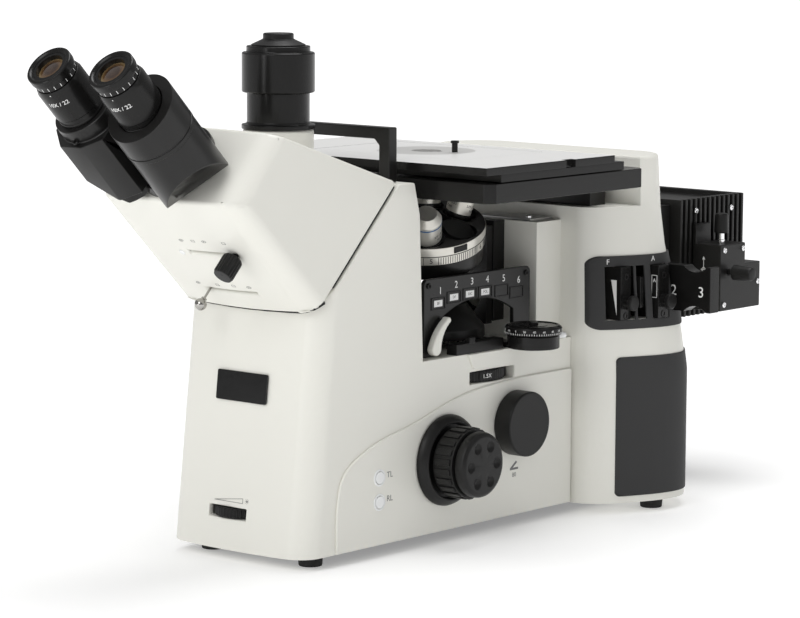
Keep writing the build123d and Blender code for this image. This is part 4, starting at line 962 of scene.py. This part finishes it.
class MICROSCOPE_OT_reflector(Piece, bpy.types.Operator):
    """Numbered cover, reflector wheel, shutter lever and analyser"""
    bl_idname = "microscope.reflector"
    bl_label = "Reflector turret"

    windows = ((-60.6, 197.6), (-40.2, 201.0), (-19.4, 201.8), (0.9, 201.7), (22.8, 200.7), (43.0, 197.6))

    def make(self, sizes):
        dress("reflector_cover", "black", 0.9)
        dress("reflector_wheel", "plastic", 0.4)
        dress("shutter_lever", "white", 1.4, 3)
        digits, rims, labels, notes = [], [], [], []
        for k, (y, z) in enumerate(self.windows):
            face = sideways(COVER_X, y, z)
            digits.append(place(words(str(k + 1), 8.4), face @ shift(3.0, 10.0, 0.03)))
            for w, h, x, v in ((18, 0.8, 0, 4.6), (18, 0.8, 0, -4.6), (0.8, 10, -8.6, 0), (0.8, 10, 8.6, 0)):
                rims.append(place(block(w, h, 0.9, 0.2, 1, (x, v, 0.3)), face))
            if k < 4:
                labels.append(place(block(10.6, 5.4, 0.5, 0.15, 1, (0, 0, 0.2)), face))
                notes.append(place(words(("BF", "DF", "DIC", "POL")[k], 3.2), face @ shift(0, 0, 0.5)))
        finish(digits, "cover_numbers", "stand", "ink")
        finish(rims, "cover_label_rims", "stand", "black")
        finish(labels, "cover_labels", "stand", "ink")
        finish(notes, "cover_label_notes", "stand", "grey_ink")
        screws = [place(screw(2.4, 1.4), sideways(COVER_X, y, z)) for y, z in ((55.5, 213), (-73, 213), (55.5, 160))]
        finish(screws, "cover_screws", "stand", "anodised")
        ridge = block(0.7, 24, 0.8, 0.2, 1, (0, -31, 0.2))
        slope = shift(0, -43, 8) @ spun(-52, "X") @ shift(0, 43, 0)
        finish(place(around(place(ridge, slope), 24), upright(*REFLECTOR_HUB)), "reflector_wheel_ridges", "reflector",
               "black")
        guide = joined(block(11, 62, 9, 0.6, 2, (70, -19, 158.6)), block(5, 8, 5, 0.5, 2, (73.5, -30, 165)))
        finish(place(guide, upright(0, 0, 0)), "analyser_guide", "stand", "plastic")
        dress("analyser_slider", "anodised", 0.8)
        dial = turned([(4.05, 12), (23.2, 12), (24, 12.8), (24, 17.6), (23.4, 18.6), (21.6, 20), (20.6, 20),
                       (20.2, 19.2), (12, 19.2), (11.6, 19.6), (4.05, 19.6), (4.05, 12)], 120, 0.2)
        axis = upright(*ANALYSER_HUB)
        finish(place(dial, axis), "analyser_dial_body", "analyser_dial", "anodised", "analyser_dial")
        scale = [around(block(0.4, 0.3, 1.4, 0.05, 1, (0, -24, 13.6)), 72)]
        for k in range(18):
            scale.append(round_print(str(k * 20), 2.4, 24.02, 20 * k, 16))
        finish(place(joined(*scale), axis), "analyser_scale", "analyser_dial", "ink")
        pin = turned([(0, 20), (2.6, 20), (2.6, 26), (1.8, 27.4), (0, 27.8)], 32)
        finish(place(pin, seat((92, 31, 165), (0.64, -0.77, 0), (0, 0, -1))), "analyser_pin", "analyser", "button")


class MICROSCOPE_OT_tower_units(Piece, bpy.types.Operator):
    """Diaphragm units, lever and filter slider in the tower"""
    bl_idname = "microscope.tower_units"
    bl_label = "Tower units"

    def make(self, sizes):
        for node in ("field_unit", "aperture_unit", "field_lever", "filter_slider"):
            dress(node, "anodised", 0.6)
        mark = slab([(101.7, 203.5), (107.4, 203.5), (107.8, 173.5)], 0.2)
        finish(place(mark, frontal(0, 126, 0)), "field_unit_mark", "field", "ink")
        sides = ((5.6, 0.5, 122.4, 206), (5.6, 0.5, 122.4, 187), (0.5, 19, 119.8, 196.5), (0.5, 19, 125.2, 196.5))
        frame_mark = [block(w, h, 0.2, 0.03, 1, (x, z, 0.1)) for w, h, x, z in sides]
        frame_mark.append(place(words("A", 4.6), shift(122.5, 201.5, 0.03)))
        finish(place(joined(*frame_mark), frontal(0, 160, 0)), "aperture_unit_mark", "aperture",
               "ink")
        for body, x, y in (("field", 112, 133.5), ("aperture", 127, 167.5)):
            knob = place(turned([(0, 5.4), (6.2, 5.4), (6.6, 5.8), (6.6, 9), (5.8, 9.8), (0, 9.6)], 40, 0.2),
                         sideways(x, y, LAMP_Z - 8))
            holes = [place(turned(hoop(1.6, 3.0, 0, 0.5), 24, 0.1), sideways(x, y, z)) for z in (206, 172.6)]
            finish(joined(knob, *holes), body + "_unit_knob", body, "plastic")
        bezel = bpy.data.objects["tower_trims_shell"]
        letters = []
        for text, y, z in (("F", 120.5, 219), ("A", 162, 220)):
            struck, where, normal, face = bezel.ray_cast(spot(220, y, z), (-1, 0, 0))
            if not struck:
                raise RuntimeError("no bezel under the letter " + text)
            matrix = seat((0, 0, 0), (-normal.y, normal.x, 0), (0, 0, 1))
            matrix.translation = where + normal * 0.1 * MM
            letters.append(place(words(text, 6.4), matrix))
        finish(letters, "window_letters", "stand", "ink")
        face = frontal(0, 184, 0)
        digits = [place(words(text, 13), face @ shift(x, 191.2, 0.03))
                  for text, x in (("2", 125.8), ("3", 154.4))]
        finish(digits, "filter_numbers", "filters", "ink")


class MICROSCOPE_OT_lamp_house(Piece, bpy.types.Operator):
    """Lamp house with its fins, bracket and knobs"""
    bl_idname = "microscope.lamp_house"
    bl_label = "Lamp house"

    def make(self, sizes):
        dress("lamp_house", "crackle", 0.9)
        dress("lamp_adaptor", "crackle", 0.6)
        dress("lamp_bracket", "crackle", 1.1)
        knob = turned([(0, -26), (2.4, -26), (2.4, 0), (6.0, 0), (6.5, 0.6), (6.0, 16), (5.2, 17.6), (4, 18),
                       (0, 18)], 72)
        finish(place(knob, upright(*LAMP_UPRIGHT)), "lamp_upright_grip", "lamp_knob_upright", "plastic",
               "lamp_knob_upright")
        stem = [(2.42, -9), (3.1, -9), (3.1, -6), (2.7, -5.6), (2.7, -0.3), (2.42, -0.3), (2.42, -9)]
        finish(place(turned(stem, 32), upright(*LAMP_UPRIGHT)), "lamp_upright_stem", "lamp_knob_upright", "chrome")
        knob = turned([(0, -28), (2.4, -28), (2.4, 0), (6.4, 0), (7, 0.6), (6.4, 18), (5.6, 19.6), (4.4, 20),
                       (0, 20)], 72)
        finish(place(knob, sideways(*LAMP_LEVEL)), "lamp_level_grip", "lamp_knob_level", "plastic", "lamp_knob_level")
        spots = ((89, 312, 212), (89, 341, 212), (89, 365, 180), (89, 312, 163), (58, 310.5, 246), (58, 366, 245))
        screws = [place(screw(2.6, 1.8, False), sideways(*where)) for where in spots]
        finish(screws, "lamp_screws", "stand", "chrome")
        cross = [block(0.6, 10, 0.2, 0.05, 1, (0, 5, 0.1)), block(6, 0.6, 0.2, 0.05, 1, (0, 0, 0.1)),
                 turned(hoop(1.5, 2.1, 0, 0.2), 24), slab([(-1.5, 9), (1.5, 9), (0, 12)], 0.2)]
        finish(place(joined(*cross), frontal(70.5, 307, 194)), "lamp_centring_sign", "stand",
               "ink")


class MICROSCOPE_OT_inside(Piece, bpy.types.Operator):
    """Optics, bulb and board inside, and the mains inlet"""
    bl_idname = "microscope.inside"
    bl_label = "Inside and back"

    def make(self, sizes):
        repaint("inner_optics", "glass")
        repaint("lamp_bulb", "glass")
        repaint("control_board", "board")
        dress("power_inlet", "plastic", 0.4)
        dress("power_switch", "plastic", 0.4)


class MICROSCOPE_OT_studio(Piece, bpy.types.Operator):
    """Pale floor, soft lights and the camera"""
    bl_idname = "microscope.studio"
    bl_label = "Studio"

    def make(self, sizes):
        scene = bpy.context.scene
        deselect()
        bpy.ops.mesh.primitive_plane_add(size=FLOOR_SIZE)
        floor = bpy.context.object
        floor.name = "floor"
        floor.data.materials.append(painted_glow_floor("pale_floor", OPTICAL_AXIS))
        world = bpy.data.worlds.new("studio_air")
        scene.world = world
        world.use_nodes = True
        world.node_tree.nodes["Background"].inputs[0].default_value = (1, 1, 1, 1)
        world.node_tree.nodes["Background"].inputs[1].default_value = AIR_LIGHT
        centre = spot(0, 0, 180)
        for name, where, size, power in LIGHTS:
            light = bpy.data.lights.new(name, "AREA")
            light.size = size
            light.energy = power
            lamp = bpy.data.objects.new(name, light)
            lamp.visible_camera = False
            scene.collection.objects.link(lamp)
            lamp.location = centre + Vector(where)
            lamp.rotation_euler = (centre - lamp.location).to_track_quat("-Z", "Y").to_euler()
        data = bpy.data.cameras.new("camera")
        data.sensor_width = 36
        data.lens = CAMERA_LENS
        data.clip_end = 90
        camera = bpy.data.objects.new("camera", data)
        scene.collection.objects.link(camera)
        turn, rise, roll = (math.radians(angle) for angle in (CAMERA_TURN, CAMERA_RISE, CAMERA_ROLL))
        back = Vector((math.sin(turn) * math.cos(rise), -math.cos(turn) * math.cos(rise), math.sin(rise)))
        level = Vector((math.cos(turn), math.sin(turn), 0))
        up = back.cross(level)
        right = math.cos(roll) * level + math.sin(roll) * up
        matrix = Matrix((right, back.cross(right), back)).transposed().to_4x4()
        matrix.translation = spot(*CAMERA_AIM) + back * sizes.lens_distance
        camera.matrix_world = matrix
        scene.camera = camera
        scene.view_settings.view_transform = "Standard"


OPERATORS = (
    MICROSCOPE_OT_castings, MICROSCOPE_OT_tubes, MICROSCOPE_OT_camera_port, MICROSCOPE_OT_front_controls,
    MICROSCOPE_OT_stage_plates, MICROSCOPE_OT_nosepiece, MICROSCOPE_OT_focus_knobs, MICROSCOPE_OT_side_controls,
    MICROSCOPE_OT_reflector, MICROSCOPE_OT_tower_units, MICROSCOPE_OT_lamp_house, MICROSCOPE_OT_inside,
    MICROSCOPE_OT_studio,
)


class MICROSCOPE_PT_panel(bpy.types.Panel):
    """Lists the pieces of the microscope"""
    bl_label = "Microscope"
    bl_idname = "MICROSCOPE_PT_panel"
    bl_space_type = "VIEW_3D"
    bl_region_type = "UI"
    bl_category = "Microscope"

    def draw(self, context):
        for operator in OPERATORS:
            self.layout.operator(operator.bl_idname)
        for group in (context.scene.microscope_colours, context.scene.microscope_sizes):
            for name in group.__annotations__:
                self.layout.prop(group, name)


CLASSES = (MICROSCOPE_PG_colours, MICROSCOPE_PG_sizes) + OPERATORS + (MICROSCOPE_PT_panel,)


def register():
    for cls in CLASSES:
        bpy.utils.register_class(cls)
    bpy.types.Scene.microscope_colours = bpy.props.PointerProperty(type=MICROSCOPE_PG_colours)
    bpy.types.Scene.microscope_sizes = bpy.props.PointerProperty(type=MICROSCOPE_PG_sizes)


def unregister():
    del bpy.types.Scene.microscope_sizes
    del bpy.types.Scene.microscope_colours
    for cls in reversed(CLASSES):
        bpy.utils.unregister_class(cls)


def main():
    register()
    deselect()
    make_looks(bpy.context.scene.microscope_colours)
    for operator in OPERATORS:
        group, name = operator.bl_idname.split(".")
        getattr(getattr(bpy.ops, group), name)()


if __name__ == "__main__":
    main()
